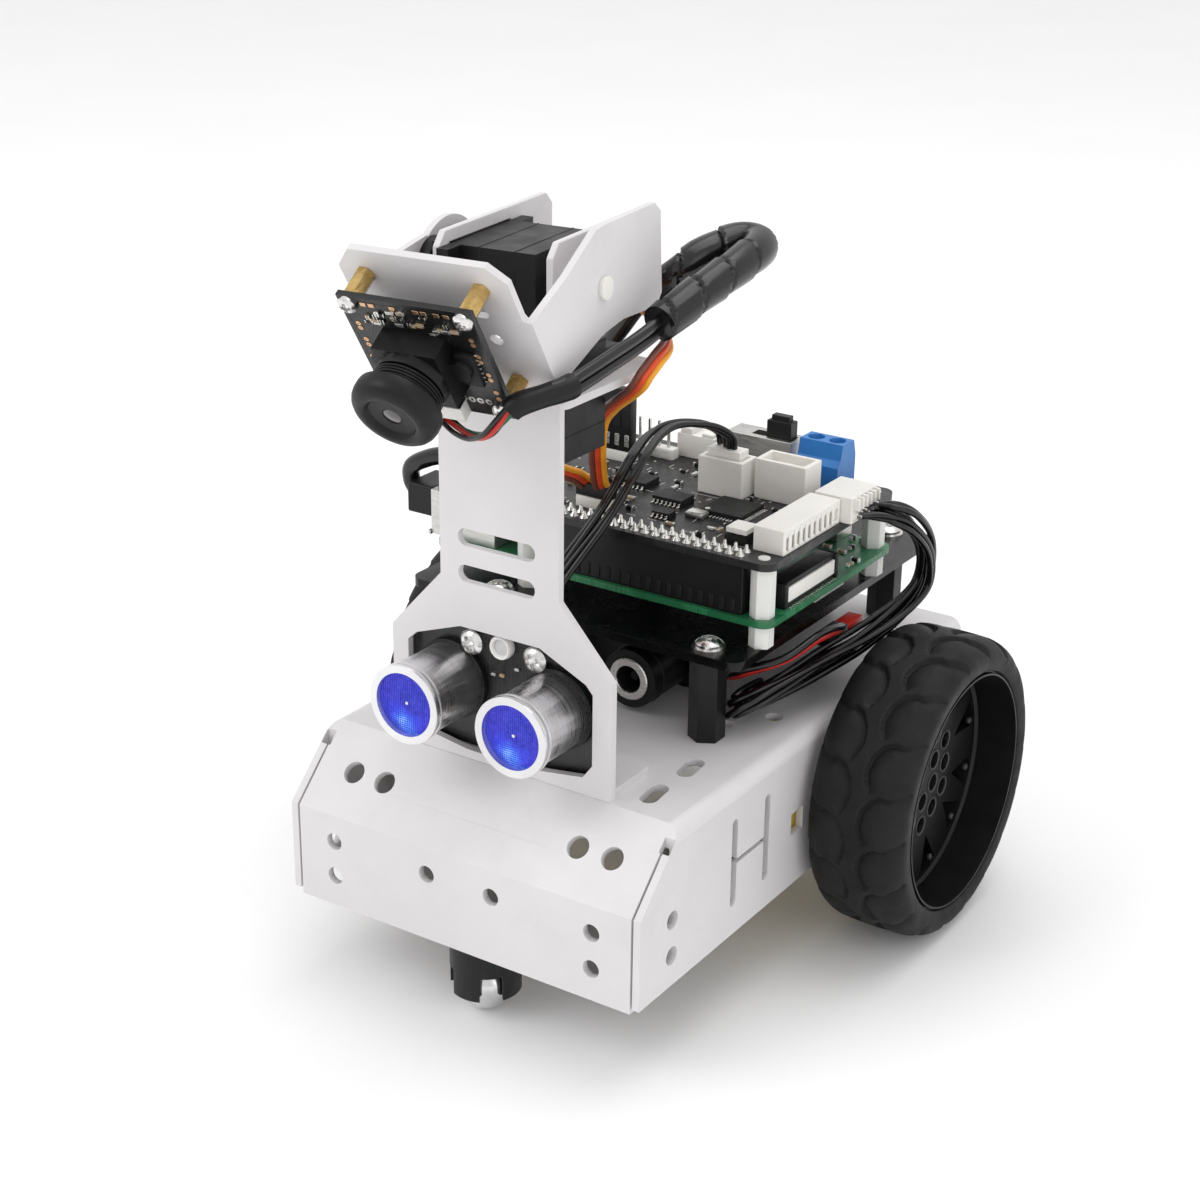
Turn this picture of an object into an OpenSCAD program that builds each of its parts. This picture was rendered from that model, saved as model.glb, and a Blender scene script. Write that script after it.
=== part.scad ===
// Two-wheel robot car with a pan and tilt camera head on a sheet-metal mast.
// +Z is up, the front of the car faces -Y, and the ground is z = 0.
// Right means the +X side, as seen by someone looking at the front of the car.
// The origin is on the ground under the middle of the car's outline.

/* [Chassis] */
// Width across the side panels
chassis_w = 86.4; // [80:0.2:95]
// Height of the top face above the ground
chassis_top = 52.6; // [48:0.2:60]
// Height of the front and rear panels' lower edge
chassis_bottom = 17.4; // [14:0.2:22]
// Distance from the wheel axle forward to the front panel
front_reach = 93.3; // [85:0.1:100]
// Distance from the wheel axle back to the rear panel
rear_reach = 46; // [38:0.5:60]
// Thickness of the folded sheet
sheet_t = 1.6; // [1:0.1:2]

/* [Wheels] */
// Rolling radius of a tyre, which is also the axle height
wheel_r = 33.7; // [30:0.1:36]
// Distance between the outer faces of the two wheels
track_w = 135.2; // [128:0.2:142]
// Width of a tyre
tyre_w = 22.6; // [20:0.2:27]
// Radius of the opening in the wheel's outer face
rim_open_r = 26.4; // [22:0.1:28]
// Ball of the front caster, diameter
caster_d = 12; // [10:0.5:16]

/* [Mast] */
// Half the width of the mast at its foot
mast_foot_half = 26.7; // [24:0.1:30]
// Half the width of the mast's neck
neck_half = 14.2; // [12:0.1:16]
// Distance from the axle forward to the mast's front face
mast_reach = 78.8; // [74:0.1:84]
// Height of the shelf that carries the turning servo
mast_top = 132.1; // [128:0.1:136]
// Diameter of a distance sensor can
can_d = 15.6; // [14:0.1:17]

/* [Head] */
// Turn of the head toward the right side at rest, degrees
pan_rest = 5.8; // [-20:0.1:20]
// Downward tilt of the camera at rest, degrees
tilt_rest = 34; // [0:0.5:45]
// Distance from the axle forward to the head's tilting axis
pan_reach = 71.2; // [68:0.1:74]
// Distance from the axle forward to the head's turning axis
turn_reach = 67.6; // [66:0.1:70]
// Height of the tilting axis
tilt_z = 152.2; // [148:0.1:156]
// Side of the square camera board
camera_board = 27.6; // [25:0.1:32]
// Diameter of the lens front ring
lens_ring_d = 16.8; // [14:0.2:20]

/* [Electronics] */
// Length of the computer board and the controller board
board_l = 85; // [80:1:90]
// Width of the computer board and the controller board
board_w = 56; // [50:1:60]
// Top of the black carrier plate
plate_top = 72.8; // [70:0.1:75]
// Underside of the computer board
pi_z = 77.9; // [76:0.1:80]
// Underside of the controller board
hat_z = 90.3; // [88:0.1:93]

/* [Hidden] */

fit = 0.05;
thread_r = 1.5;
axle_y = 36.3;
axle_z = wheel_r;
half_w = chassis_w / 2;
wall = sheet_t;
slope_foot = 38.4;
slope_top_y = -79;
edge_r = 3;
seam = 0.5;
top_skin = chassis_top - wall;
shaft_r = 2.7;
tyre_out_x = track_w / 2;
tyre_in_x = tyre_out_x - tyre_w;
hub_in_x = 52.5;
hub_out_x = 57;
bead_r = 28;
gear_t = 18.6;
gear_r = 11;
gear_l = 37;
gear_x = half_w - wall - gear_t - 0.2;
caster_y = -84.2;
caster_r = caster_d / 2;
lip_z = chassis_bottom;
pillar_x = 26.5;
pillar_front = -42.5;
pillar_rear = 38;
plate_t = 2;
board_t = 1.4;
pi_right = 38.1;
pi_front = -38.9;
hole_x = [34.6, -23.4];
hole_y = [-35.4, 13.6];
pi_top = pi_z + board_t;
hat_t = 1.6;
hat_top = hat_z + hat_t;
cans_x = 12.9;
cans_z = 68.7;
cans_face = -93.2;
sensor_face = -76.4;
servo_w = 12;
servo_l = 22.5;
servo_ear = 4.7;
servo_ear_t = 2.5;
shaft_off = 5.9;
turn_bottom = 114.6;
turn_case_h = 22.3;
shelf_right = 15.2;
shelf_back = 44.6;
ear_screw = 2.4;
turn_screw_y = [-shaft_off - ear_screw, servo_l - shaft_off + ear_screw];
yoke_floor = 144.3;
boss_top = 142.4;
yoke_left = -13.2;
yoke_right = 11;
yoke_t = 1.4;
yoke_top = 160.9;
camera_gap = 22.5;
camera_pillar = 6.1;
camera_x = -2;
camera_z = 9.9;
bracket_left = -20.8;
bracket_right = 17.6;
bracket_t = 1.4;

// Everything below is drawn from the middle of the wheel axle's ground point.
module at_axle() translate([0, axle_y, 0]) children();
module mirrored() for (side = [0, 1]) mirror([side, 0, 0]) children();

// A side view, drawn as [y, z], made solid from x0 to x1.
module side_extrude(x0, x1) translate([x0, 0, 0]) rotate([90, 0, 90]) linear_extrude(x1 - x0) children();

module cyl_x(r, x0, x1, y = 0, z = 0) translate([x0, y, z]) rotate([0, 90, 0]) cylinder(r = r, h = x1 - x0, $fn = 48);
module cyl_y(r, y0, y1, x = 0, z = 0) translate([x, y1, z]) rotate([90, 0, 0]) cylinder(r = r, h = y1 - y0, $fn = 48);
module cyl_z(r, z0, z1, x = 0, y = 0) translate([x, y, z0]) cylinder(r = r, h = z1 - z0, $fn = 48);
module block(x0, x1, y0, y1, z0, z1) translate([x0, y0, z0]) cube([x1 - x0, y1 - y0, z1 - z0]);

// A rectangle with round corners, from exact squares and circles.
module round_rect(w, h, r) {
    translate([r, 0]) square([w - 2 * r, h]);
    translate([0, r]) square([w, h - 2 * r]);
    for (x = [r, w - r], y = [r, h - r]) translate([x, y]) circle(r = r, $fn = 32);
}

// A slot along the first axis, centred on the second.
module slot_2d(length, width) {
    square([length - width, width], center = true);
    for (s = [-1, 1]) translate([s * (length - width) / 2, 0]) circle(r = width / 2, $fn = 32);
}

// A pan-head screw with a cross recess, standing on z = 0 and pointing down.
module pan_screw(head_r, head_h, shank_r, shank_l) {
    difference() {
        union() {
            cylinder(r = head_r, h = head_h * 0.45, $fn = 32);
            translate([0, 0, head_h * 0.45]) cylinder(r1 = head_r, r2 = head_r * 0.66, h = head_h * 0.55, $fn = 32);
        }
        for (turn = [0, 90]) rotate([0, 0, turn])
            translate([-head_r * 0.55, -head_r * 0.13, head_h * 0.5]) cube([head_r * 1.1, head_r * 0.26, head_h]);
    }
    translate([0, 0, -shank_l]) cylinder(r = shank_r, h = shank_l, $fn = 32);
}

// ---- chassis ----
chassis_outline = [
    [-front_reach, chassis_bottom], [-front_reach, slope_foot], [slope_top_y, chassis_top],
    [rear_reach, chassis_top], [rear_reach, chassis_bottom]
];
chassis_inside = [
    [-front_reach + wall, chassis_bottom - 1], [-front_reach + wall, slope_foot - 0.7],
    [slope_top_y + 0.7, top_skin], [rear_reach - wall, top_skin], [rear_reach - wall, chassis_bottom - 1]
];

// The front view of the folded sheet, with its two long round edges.
module long_bend(inset) cross_section(half_w - inset, chassis_top - inset, max(edge_r - inset, 0.8));
module cross_section(half, top, r)
    translate([0, rear_reach + 1, 0]) rotate([90, 0, 0]) linear_extrude(front_reach + rear_reach + 2) {
    translate([-half, 0]) square([2 * half, top - r]);
    translate([-half + r, 0]) square([2 * half - 2 * r, top]);
    for (s = [-1, 1]) translate([s * (half - r), top - r]) circle(r = r, $fn = 32);
}

module front_holes() {
    for (x = [-32, 32], z = [24.4, 32.4]) cyl_y(1.9, -front_reach - 1, -front_reach + 3, x, z);
    for (x = [-8, 8]) cyl_y(1.9, -front_reach - 1, -front_reach + 3, x, 32.4);
    for (x = [-32, -24, 24, 32]) translate([x, -86, 45.3]) rotate([45, 0, 0]) cylinder(r = 2.4, h = 8, center = true, $fn = 32);
}

module side_cutters() {
    for (z = [25.4, 33.4]) cyl_x(2, half_w - 3, half_w + 1, -81.7, z);
    for (y = [-58.3, -45.2]) translate([half_w - 3, y, 35.2]) rotate([90, 90, 90]) linear_extrude(5) slot_2d(20, 2.2);
    translate([half_w - 3, -58.3, 34.7]) cube([5, 13.1, 1.1]);
    block(half_w - 3, half_w + 1, -34.6, -29.6, 30.8, 35.9);
    cyl_x(4.5, half_w - 3, half_w + 1, 0, axle_z);
    for (z = [-8.8, 8.8]) cyl_x(1.6, half_w - 3, half_w + 1, -20.4, axle_z + z);
    block(half_w - wall - seam, half_w - wall + 0.01, -front_reach - 1, -81.3, chassis_bottom - 1, chassis_top + 1);
    translate([half_w - wall - 0.9, -83.4, 47]) cube([2.4, 2.4, 10]);
    block(half_w - wall - seam, half_w + 1, -front_reach - 1, rear_reach + 1, 0, chassis_bottom + 1.2);
}

module top_cutters() {
    for (y = [-70.4, -56.7]) translate([31.4, y, top_skin - 1]) linear_extrude(4) rotate(96) slot_2d(8.6, 3.8);
    for (y = [-70.4, -56.7]) translate([-31.4, y, top_skin - 1]) linear_extrude(4) rotate(84) slot_2d(8.6, 3.8);
    for (x = [-27.2, 27.2]) cyl_z(1.6, top_skin - 1, chassis_top + 1, x, -34.7);
    for (x = [-33.5, 33.5], y = [-26.2, 28]) cyl_z(1.9, top_skin - 1, chassis_top + 1, x, y);
    for (x = [-pillar_x, pillar_x], y = [pillar_front, pillar_rear]) cyl_z(1.6, top_skin - 1, chassis_top + 1, x, y);
    for (x = [-16, 16]) cyl_z(1.6, top_skin - 1, chassis_top + 1, x, -68);
    translate([0, 5, top_skin - 1]) linear_extrude(4) slot_2d(24, 8);
}

module rear_holes() for (x = [-32, -8, 8, 32], z = [24.4, 32.4]) cyl_y(1.9, rear_reach - 3, rear_reach + 1, x, z);

module chassis_shell() color([0.93, 0.92, 0.92]) at_axle() {
    difference() {
        intersection() {
            side_extrude(-half_w, half_w) polygon(chassis_outline);
            long_bend(0);
        }
        intersection() {
            side_extrude(-half_w + wall, half_w - wall) polygon(chassis_inside);
            long_bend(wall);
        }
        front_holes();
        top_cutters();
        rear_holes();
        mirrored() side_cutters();
    }
    // The lip under the front panel that the caster bolts to.
    difference() {
        block(-30, 30, -front_reach + wall, -70, lip_z, lip_z + wall);
        cyl_z(caster_r + 1.6, lip_z - 1, lip_z + 3, 0, caster_y);
        for (x = [-12, 12]) cyl_z(1.6, lip_z - 1, lip_z + 3, x, caster_y);
    }
}

module fixing_screws() color([0.72, 0.72, 0.73]) at_axle() {
    for (x = [-33.5, 33.5]) translate([x, 28, chassis_top]) pan_screw(2.7, 1.8, thread_r, 4);
    for (x = [-16, 16]) translate([x, -68, chassis_top + wall]) pan_screw(2.7, 1.8, thread_r, 5);
    for (x = [-12, 12]) translate([x, caster_y, lip_z - 1.8]) mirror([0, 0, 1]) pan_screw(2.6, 1.7, thread_r, 5);
}

// ---- caster ----
module caster_housing() color([0.06, 0.06, 0.065]) at_axle() difference() {
    union() {
        translate([0, caster_y, lip_z - 1.8]) linear_extrude(1.8) slot_2d(31, 9);
        cyl_z(caster_r + 1.5, 5, lip_z, 0, caster_y);
    }
    translate([0, caster_y, caster_r]) sphere(r = caster_r + 0.3, $fn = 64);
    cyl_z(caster_r + 0.3, 4, caster_r, 0, caster_y);
    for (turn = [45, 135]) translate([0, caster_y, 3.5]) rotate([0, 0, turn]) translate([-15, -2.4, 0]) cube([30, 4.8, 7]);
    for (x = [-12, 12]) cyl_z(1.6, lip_z - 3, lip_z + 1, x, caster_y);
}

module caster_ball() color([0.75, 0.75, 0.76]) at_axle() translate([0, caster_y, caster_r]) sphere(r = caster_r, $fn = 64);

// ---- drive ----
module gearbox() difference() {
    translate([gear_x, 0, axle_z]) rotate([90, 0, 90]) linear_extrude(gear_t) {
        translate([-gear_l, -gear_r]) square([gear_l, 2 * gear_r]);
        circle(r = gear_r, $fn = 48);
        translate([gear_r - 1, -2.5]) square([6, 5]);
    }
    cyl_x(shaft_r + fit, gear_x - 1, half_w, 0, axle_z);
    for (z = [-8.8, 8.8]) cyl_x(1.6, gear_x - 1, half_w, -20.4, axle_z + z);
    translate([gear_x - 1, 13.4, axle_z]) rotate([0, 90, 0]) cylinder(r = 1.5, h = 30, $fn = 24);
}
module motor_can() {
    intersection() {
        cyl_y(10, -64.5, -37.3, gear_x + gear_t / 2, axle_z);
        block(gear_x + 1.6, gear_x + 17, -65, -37.3, 20, 48);
    }
    cyl_y(2.6, -66, -64.5, gear_x + gear_t / 2, axle_z);
}
module motor_gearbox_right() color([0.86, 0.7, 0.12]) at_axle() gearbox();
module motor_gearbox_left() color([0.86, 0.7, 0.12]) at_axle() mirror([1, 0, 0]) gearbox();
module motor_can_right() color([0.7, 0.7, 0.7]) at_axle() motor_can();
module motor_can_left() color([0.7, 0.7, 0.7]) at_axle() mirror([1, 0, 0]) motor_can();
module motor_screws() color([0.5, 0.5, 0.5]) at_axle() mirrored() for (z = [-8.8, 8.8])
    translate([gear_x - 0.1, -20.4, axle_z + z]) rotate([0, -90, 0]) rotate([0, 0, 180]) pan_screw(2.6, 1.8, thread_r, 21);

// ---- wheels, drawn on the right side ----
module wheel_shaft() cyl_x(shaft_r, gear_x + 2, hub_out_x - 1, 0, axle_z);
module wheel_rim() translate([0, 0, axle_z]) rotate([0, 90, 0]) {
    difference() {
        translate([0, 0, tyre_in_x + 1]) cylinder(r = bead_r, h = tyre_w - 2.4, $fn = 96);
        translate([0, 0, tyre_in_x]) cylinder(r = rim_open_r, h = tyre_w + 1, $fn = 96);
    }
    difference() {
        translate([0, 0, hub_in_x]) cylinder(r = rim_open_r + 0.4, h = hub_out_x - hub_in_x, $fn = 96);
        translate([0, 0, hub_in_x - 1]) {
            cylinder(r = shaft_r + 0.01, h = hub_out_x - hub_in_x, $fn = 48);
            for (k = [0:5]) rotate([0, 0, 60 * k]) {
                translate([5.6, 0, 0]) cylinder(r = 1.9, h = 10, $fn = 24);
                rotate([0, 0, 30]) translate([10.4, 0, 0]) cylinder(r = 1.9, h = 10, $fn = 24);
                translate([11.4, 0, 0]) cylinder(r = 1.7, h = 10, $fn = 24);
                rotate([0, 0, 15]) linear_extrude(10) polygon([[15.5, -0.6], [24.6, -4.6], [25.3, 0], [24.6, 2.6]]);
                rotate([0, 0, 45]) linear_extrude(10) polygon([[15.5, 0.6], [24.6, 4.6], [25.3, 0], [24.6, -2.6]]);
            }
        }
    }
}
tyre_profile = [
    [bead_r + 0.05, 0.4], [wheel_r - 3.6, 0], [wheel_r - 1.1, 1.6], [wheel_r, 5], [wheel_r, tyre_w - 5],
    [wheel_r - 1.1, tyre_w - 1.6], [wheel_r - 3.6, tyre_w], [bead_r - 1.2, tyre_w - 0.1],
    [bead_r - 1.2, tyre_w - 1.3], [bead_r + 0.05, tyre_w - 1.3]
];
tread_count = 18;
module tread_groove() for (s = [-1, 1], k = [0:tread_count - 1]) rotate([0, 0, 360 / tread_count * (k + (s + 1) / 4)])
    translate([wheel_r - 1.2, 0, tyre_w / 2 + s * tyre_w / 4]) rotate([s * 38, 0, 0]) translate([0, -0.5, -4.6]) cube([3, 1, 9.2]);
module wheel_tyre() translate([tyre_in_x, 0, axle_z]) rotate([0, 90, 0]) difference() {
    rotate_extrude($fn = 128) polygon(tyre_profile);
    tread_groove();
}
module wheel_shaft_right() color([0.9, 0.88, 0.8]) at_axle() wheel_shaft();
module wheel_shaft_left() color([0.9, 0.88, 0.8]) at_axle() mirror([1, 0, 0]) wheel_shaft();
module wheel_rim_right() color([0.1, 0.1, 0.105]) at_axle() wheel_rim();
module wheel_rim_left() color([0.1, 0.1, 0.105]) at_axle() mirror([1, 0, 0]) wheel_rim();
module wheel_tyre_right() color([0.12, 0.12, 0.125]) at_axle() wheel_tyre();
module wheel_tyre_left() color([0.12, 0.12, 0.125]) at_axle() mirror([1, 0, 0]) wheel_tyre();

// ---- mast and distance sensor ----
mast_outline = [
    [-mast_foot_half, chassis_top], [-mast_foot_half, 78], [-neck_half, 91.8], [-neck_half, mast_top],
    [neck_half, mast_top], [neck_half, 91.8], [mast_foot_half, 78], [mast_foot_half, chassis_top]
];
window_outline = [
    [-20, 56.4], [-22.8, 59.4], [-22.8, 75.4], [-20.6, 77.4], [-9.6, 81.4], [9.6, 81.4],
    [20.6, 76.4], [22.2, 74.6], [22.2, 59.4], [20, 56.4], [8, 54.6], [-8, 54.6]
];
module mast_bracket() color([0.94, 0.93, 0.94]) at_axle() {
    translate([0, -mast_reach + wall, 0]) rotate([90, 0, 0]) linear_extrude(wall) difference() {
        polygon(mast_outline);
        polygon(window_outline);
        for (z = [93, 100.6]) translate([-0.6, z]) slot_2d(18.4, 3.6);
    }
    difference() {
        translate([-mast_foot_half + 1, -mast_reach + wall - 0.01, chassis_top]) linear_extrude(wall) round_rect(2 * mast_foot_half - 2, 15.6, 2.5);
        block(-12, 12, -74.4, -60, chassis_top - 1, chassis_top + 3);
        for (x = [-16, 16]) cyl_z(1.6, chassis_top - 1, chassis_top + 3, x, -68);
    }
    difference() {
        translate([-neck_half, -mast_reach, mast_top - wall]) linear_extrude(wall)
            round_rect(neck_half + shelf_right, mast_reach - shelf_back, 2);
        translate([0, -turn_reach, mast_top - 3]) {
            translate([-servo_w / 2 - 0.15, -shaft_off - 0.15, 0]) cube([servo_w + 0.3, servo_l + 0.3, 4]);
            for (y = turn_screw_y) translate([0, y, 0]) cylinder(r = 1.05, h = 4, $fn = 24);
        }
    }
}
module sensor_board() color([0.07, 0.07, 0.08]) at_axle() difference() {
    translate([0, sensor_face + wall, 0]) rotate([90, 0, 0]) linear_extrude(wall)
        polygon([[-24.2, 57], [-21.6, 54.6], [21.6, 54.6], [24.2, 57], [24.2, 76.2], [10, 83], [-10, 83], [-24.2, 76.2]]);
    for (x = [-7.7, 7.7]) cyl_y(1.6, sensor_face - 1, sensor_face + 3, x, 78);
}
module sensor_cans() color([0.78, 0.78, 0.78]) at_axle() for (x = [-cans_x, cans_x]) difference() {
    union() {
        cyl_y(can_d / 2, cans_face, sensor_face, x, cans_z);
        cyl_y(can_d / 2 + 0.5, cans_face, cans_face + 1.2, x, cans_z);
    }
    cyl_y(can_d / 2 - 1.1, cans_face - 1, cans_face + 3.5, x, cans_z);
}
module sensor_lights() color([0.25, 0.28, 0.95]) at_axle() for (x = [-cans_x, cans_x])
    cyl_y(can_d / 2 - 1.15, cans_face + 1, cans_face + 3.4, x, cans_z);
module sensor_screws() color([0.75, 0.75, 0.76]) at_axle() for (x = [-7.7, 7.7])
    translate([x, sensor_face - 0.02, 78]) rotate([90, 0, 0]) pan_screw(2.8, 2.1, thread_r, 5);
module sensor_parts() color([0.88, 0.88, 0.88]) at_axle() {
    cyl_y(2.5, sensor_face - 1.6, sensor_face, -0.4, 78.6);
    translate([0, sensor_face, 0]) rotate([90, 0, 0]) linear_extrude(3.4) translate([-0.6, 60.2]) slot_2d(10.2, 4);
    block(-7, 7, sensor_face + wall, sensor_face + wall + 4.6, 70.6, 76.2);
}

// ---- carrier plate and boards ----
module carrier_plate() color([0.05, 0.05, 0.055]) at_axle() translate([0, 0, plate_top - plate_t]) difference() {
    translate([-47.5, -47, 0]) linear_extrude(plate_t) round_rect(83.5, 90, 3);
    for (x = [-pillar_x, pillar_x], y = [pillar_front, pillar_rear]) cyl_z(1.6, -1, plate_t + 1, x, y);
    for (x = hole_x, y = hole_y) cyl_z(1.3, -1, plate_t + 1, x, y);
    translate([0, 26, -1]) linear_extrude(plate_t + 2) slot_2d(30, 7);
}
module plate_pillars() color([0.06, 0.06, 0.065]) at_axle() for (x = [-pillar_x, pillar_x], y = [pillar_front, pillar_rear])
    difference() {
        translate([x, y, chassis_top]) rotate([0, 0, 90]) cylinder(r = 3.9, h = plate_top - plate_t - chassis_top, $fn = 6);
        cyl_z(thread_r, chassis_top - 1, plate_top, x, y);
    }
module plate_screws() color([0.75, 0.75, 0.76]) at_axle() for (x = [-pillar_x, pillar_x], y = [pillar_front, pillar_rear]) {
    translate([x, y, plate_top]) pan_screw(2.9, 2, thread_r - 0.01, 8);
    translate([x, y, top_skin]) mirror([0, 0, 1]) pan_screw(2.9, 2, thread_r - 0.01, 8);
}
module board_pillars() color([0.9, 0.9, 0.89]) at_axle() for (x = hole_x, y = hole_y) {
    translate([x, y, plate_top]) rotate([0, 0, 90]) cylinder(r = 2.6, h = pi_z - plate_top, $fn = 6);
    cyl_z(1.25, plate_top - 2, hat_top + 0.2, x, y);
    translate([x, y, pi_top]) rotate([0, 0, 90]) cylinder(r = 2.6, h = hat_z - pi_top, $fn = 6);
}
module board_outline(l, w) translate([pi_right - l, pi_front]) round_rect(l, w, 3);
module computer_board() color([0.12, 0.45, 0.28]) at_axle() difference() {
    translate([0, 0, pi_z]) linear_extrude(board_t) board_outline(board_l, board_w);
    for (x = hole_x, y = hole_y) cyl_z(1.35, pi_z - 1, pi_top + 1, x, y);
}
module computer_parts() color([0.75, 0.75, 0.74]) at_axle() {
    block(8.6, 22.6, -16, -2, pi_top, pi_top + 1.4);
    block(-8, 4, -18, -6, pi_top, pi_top + 1.2);
    block(32.4, 36.4, -29.6, -7.6, pi_top, pi_top + 5.2);
    for (x = [-9, 5, 20]) block(x, x + 7.4, 10.6, 17.6, pi_top, pi_top + 3.2);
    block(24, 37, -17, -4, pi_z - 1.4, pi_z);
}
module usb_ports() color([0.74, 0.74, 0.75]) at_axle() {
    for (y = [-36.4, -18.4]) difference() {
        block(-49.5, -32, y, y + 13.2, pi_top, pi_top + 15.4 - 5);
        for (z = [1, 5.8]) block(-50, -36, y + 0.9, y + 12.3, pi_top + z, pi_top + z + 3.7);
    }
    difference() {
        block(-49.5, -29, -0.6, 15.2, pi_top, pi_top + 10.4);
        block(-50, -38, 1.4, 13.2, pi_top + 1.4, pi_top + 8.6);
    }
}
module pin_socket() color([0.045, 0.045, 0.05]) at_axle() block(-20, 31.2, -37.9, -32.9, pi_top, hat_z);

module controller_board() color([0.07, 0.075, 0.08]) at_axle() difference() {
    translate([0, 0, hat_z]) linear_extrude(hat_t) board_outline(board_l, board_w);
    for (x = hole_x, y = hole_y) cyl_z(1.35, hat_z - 1, hat_top + 1, x, y);
}
module controller_chips() color([0.12, 0.12, 0.13]) at_axle() {
    block(10.4, 20.4, -20.6, -10.6, hat_top, hat_top + 1.2);
    block(-2, 5.4, -20, -14.6, hat_top, hat_top + 1.5);
    block(2.6, 7, -27.6, -24.6, hat_top, hat_top + 1.2);
    block(-14, -7, -15, -9, hat_top, hat_top + 1.5);
}
module header_pins() for (k = [0:19], row = [0, 1])
    translate([5.6 - 24.13 + 2.54 * k, -36.7 + 2.54 * row, hat_top]) cylinder(r1 = 0.95, r2 = 0.35, h = 1.5, $fn = 16);
module controller_headers() color([0.8, 0.8, 0.78]) at_axle() {
    header_pins();
    block(-28.6, -12.6, 5.4, 8.2, hat_top, hat_top + 2.5);
    for (k = [0:5]) translate([-27.6 + 2.54 * k, 6.5, hat_top + 2.5]) cube([0.64, 0.64, 6]);
    block(-27.4, -19.6, -1.6, 1, hat_top, hat_top + 17);
    block(-14, -4, 9.4, 15, hat_top, hat_top + 7);
    block(-14, -5.6, -31.6, -28.4, hat_top, hat_top + 2.6);
}
// White sockets with a plug standing in each.
module socket(x, y, w, d, h) difference() {
    translate([x, y, hat_top]) cube([w, d, h]);
    translate([x + 1, y + 1, hat_top + h - 3.4]) cube([w - 2, d - 2, 4]);
}
module sensor_sockets() color([0.92, 0.92, 0.9]) at_axle() {
    socket(2.6, -8.8, 11, 6.4, 8.4);
    socket(14.6, -5, 12.4, 7.2, 9);
    translate([4, -7.4, hat_top + 5]) cube([8.2, 3.8, 5.2]);
}
module motor_socket() color([0.94, 0.94, 0.92]) at_axle() {
    difference() {
        block(30.2, 37.4, -32.6, -8.4, hat_top, hat_top + 5.4);
        for (k = [0:9]) block(36.4, 38, -31.4 + 2.3 * k, -30 + 2.3 * k, hat_top + 0.8, hat_top + 3.6);
    }
    block(31, 40, -8.2, 3.6, hat_top, hat_top + 5.8);
    for (k = [0:5]) block(39.9, 41, -7.4 + 1.8 * k, -6.4 + 1.8 * k, hat_top + 1, hat_top + 2.4);
}
module push_button_base() color([0.2, 0.2, 0.21]) at_axle() difference() {
    block(23.2, 28.4, -32, -26.8, hat_top, hat_top + 1.9);
    cyl_z(1.75, hat_top + 0.5, hat_top + 3, 25.8, -29.4);
}
module push_button_cap() color([0.95, 0.95, 0.95]) at_axle() {
    cyl_z(1.7, hat_top + 1.1, hat_top + 2.4, 25.8, -29.4);
    block(23.4, 28.2, -31.8, -27, hat_top + 2.3, hat_top + 3.4);
}
switch_x = [-1, 15.6];
switch_y = [9, 15.6];
module switch_case() color([0.66, 0.64, 0.6]) at_axle() difference() {
    block(switch_x[0], switch_x[1], switch_y[0], switch_y[1], hat_top, hat_top + 8.6);
    block(switch_x[0] + 5.6, switch_x[1] - 0.8, 10.6, 14, hat_top + 4, hat_top + 9);
}
module switch_knob() color([0.09, 0.09, 0.1]) at_axle() {
    block(8.4, 14.5, 10.75, 13.85, hat_top + 5, hat_top + 12.4);
    block(9.2, 13.7, 11.3, 13.3, hat_top + 12.4, hat_top + 13.6);
}
module power_terminal() color([0.08, 0.38, 0.75]) at_axle() difference() {
    side_extrude(17.6, 28.2) polygon([[7.4, hat_top], [7.4, hat_top + 5.6], [8.6, hat_top + 7], [9.4, hat_top + 10.4],
        [14.6, hat_top + 10.4], [15.6, hat_top + 7], [15.6, hat_top]]);
    for (x = [20.3, 25.5]) {
        cyl_z(1.9, hat_top + 6, hat_top + 11, x, 12);
        block(x - 1.7, x + 1.7, 12, 17, hat_top + 1, hat_top + 4.6);
    }
}
module terminal_screws() color([0.72, 0.72, 0.72]) at_axle() for (x = [20.3, 25.5]) difference() {
    cyl_z(1.85, hat_top + 6, hat_top + 8.6, x, 12);
    block(x - 1.5, x + 1.5, 11.7, 12.3, hat_top + 7.8, hat_top + 9);
}

// ---- battery ----
module battery_pack() color([0.05, 0.05, 0.055]) at_axle() for (x = [-9.6, 9.6]) {
    cyl_y(9.1, -24, 34, x, chassis_top + 9.1);
    cyl_y(8.2, -24.6, 34.6, x, chassis_top + 9.1);
}
module battery_socket() color([0.05, 0.05, 0.055]) at_axle() {
    difference() {
        union() {
            cyl_y(6.5, -42, -29, 7, 60.5);
            cyl_y(4.6, -29.2, -24.8, 7, 60.5);
        }
        cyl_y(2.9, -43, -31, 7, 60.5);
    }
    cyl_y(1, -40, -30.5, 7, 60.5);
}

// ---- turning servo ----
module turn_servo() color([0.13, 0.13, 0.14]) at_axle() translate([0, -turn_reach, turn_bottom]) {
    difference() {
        union() {
            translate([-servo_w / 2, -shaft_off, 0]) cube([servo_w, servo_l, turn_case_h]);
            translate([-servo_w / 2, -shaft_off - servo_ear, mast_top - turn_bottom])
                cube([servo_w, servo_l + 2 * servo_ear, servo_ear_t]);
            cylinder(r = servo_w / 2 - 0.05, h = boss_top - turn_bottom, $fn = 48);
        }
        for (y = turn_screw_y) translate([0, y, 10]) cylinder(r = 1.05, h = 12, $fn = 24);
        translate([0, 0, boss_top - turn_bottom - 3.2]) cylinder(r = 2.4 + fit, h = 4, $fn = 48);
    }
    for (y = turn_screw_y) translate([0, y, mast_top - turn_bottom + servo_ear_t]) pan_screw(1.9, 1.2, 1, 5);
}
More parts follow.
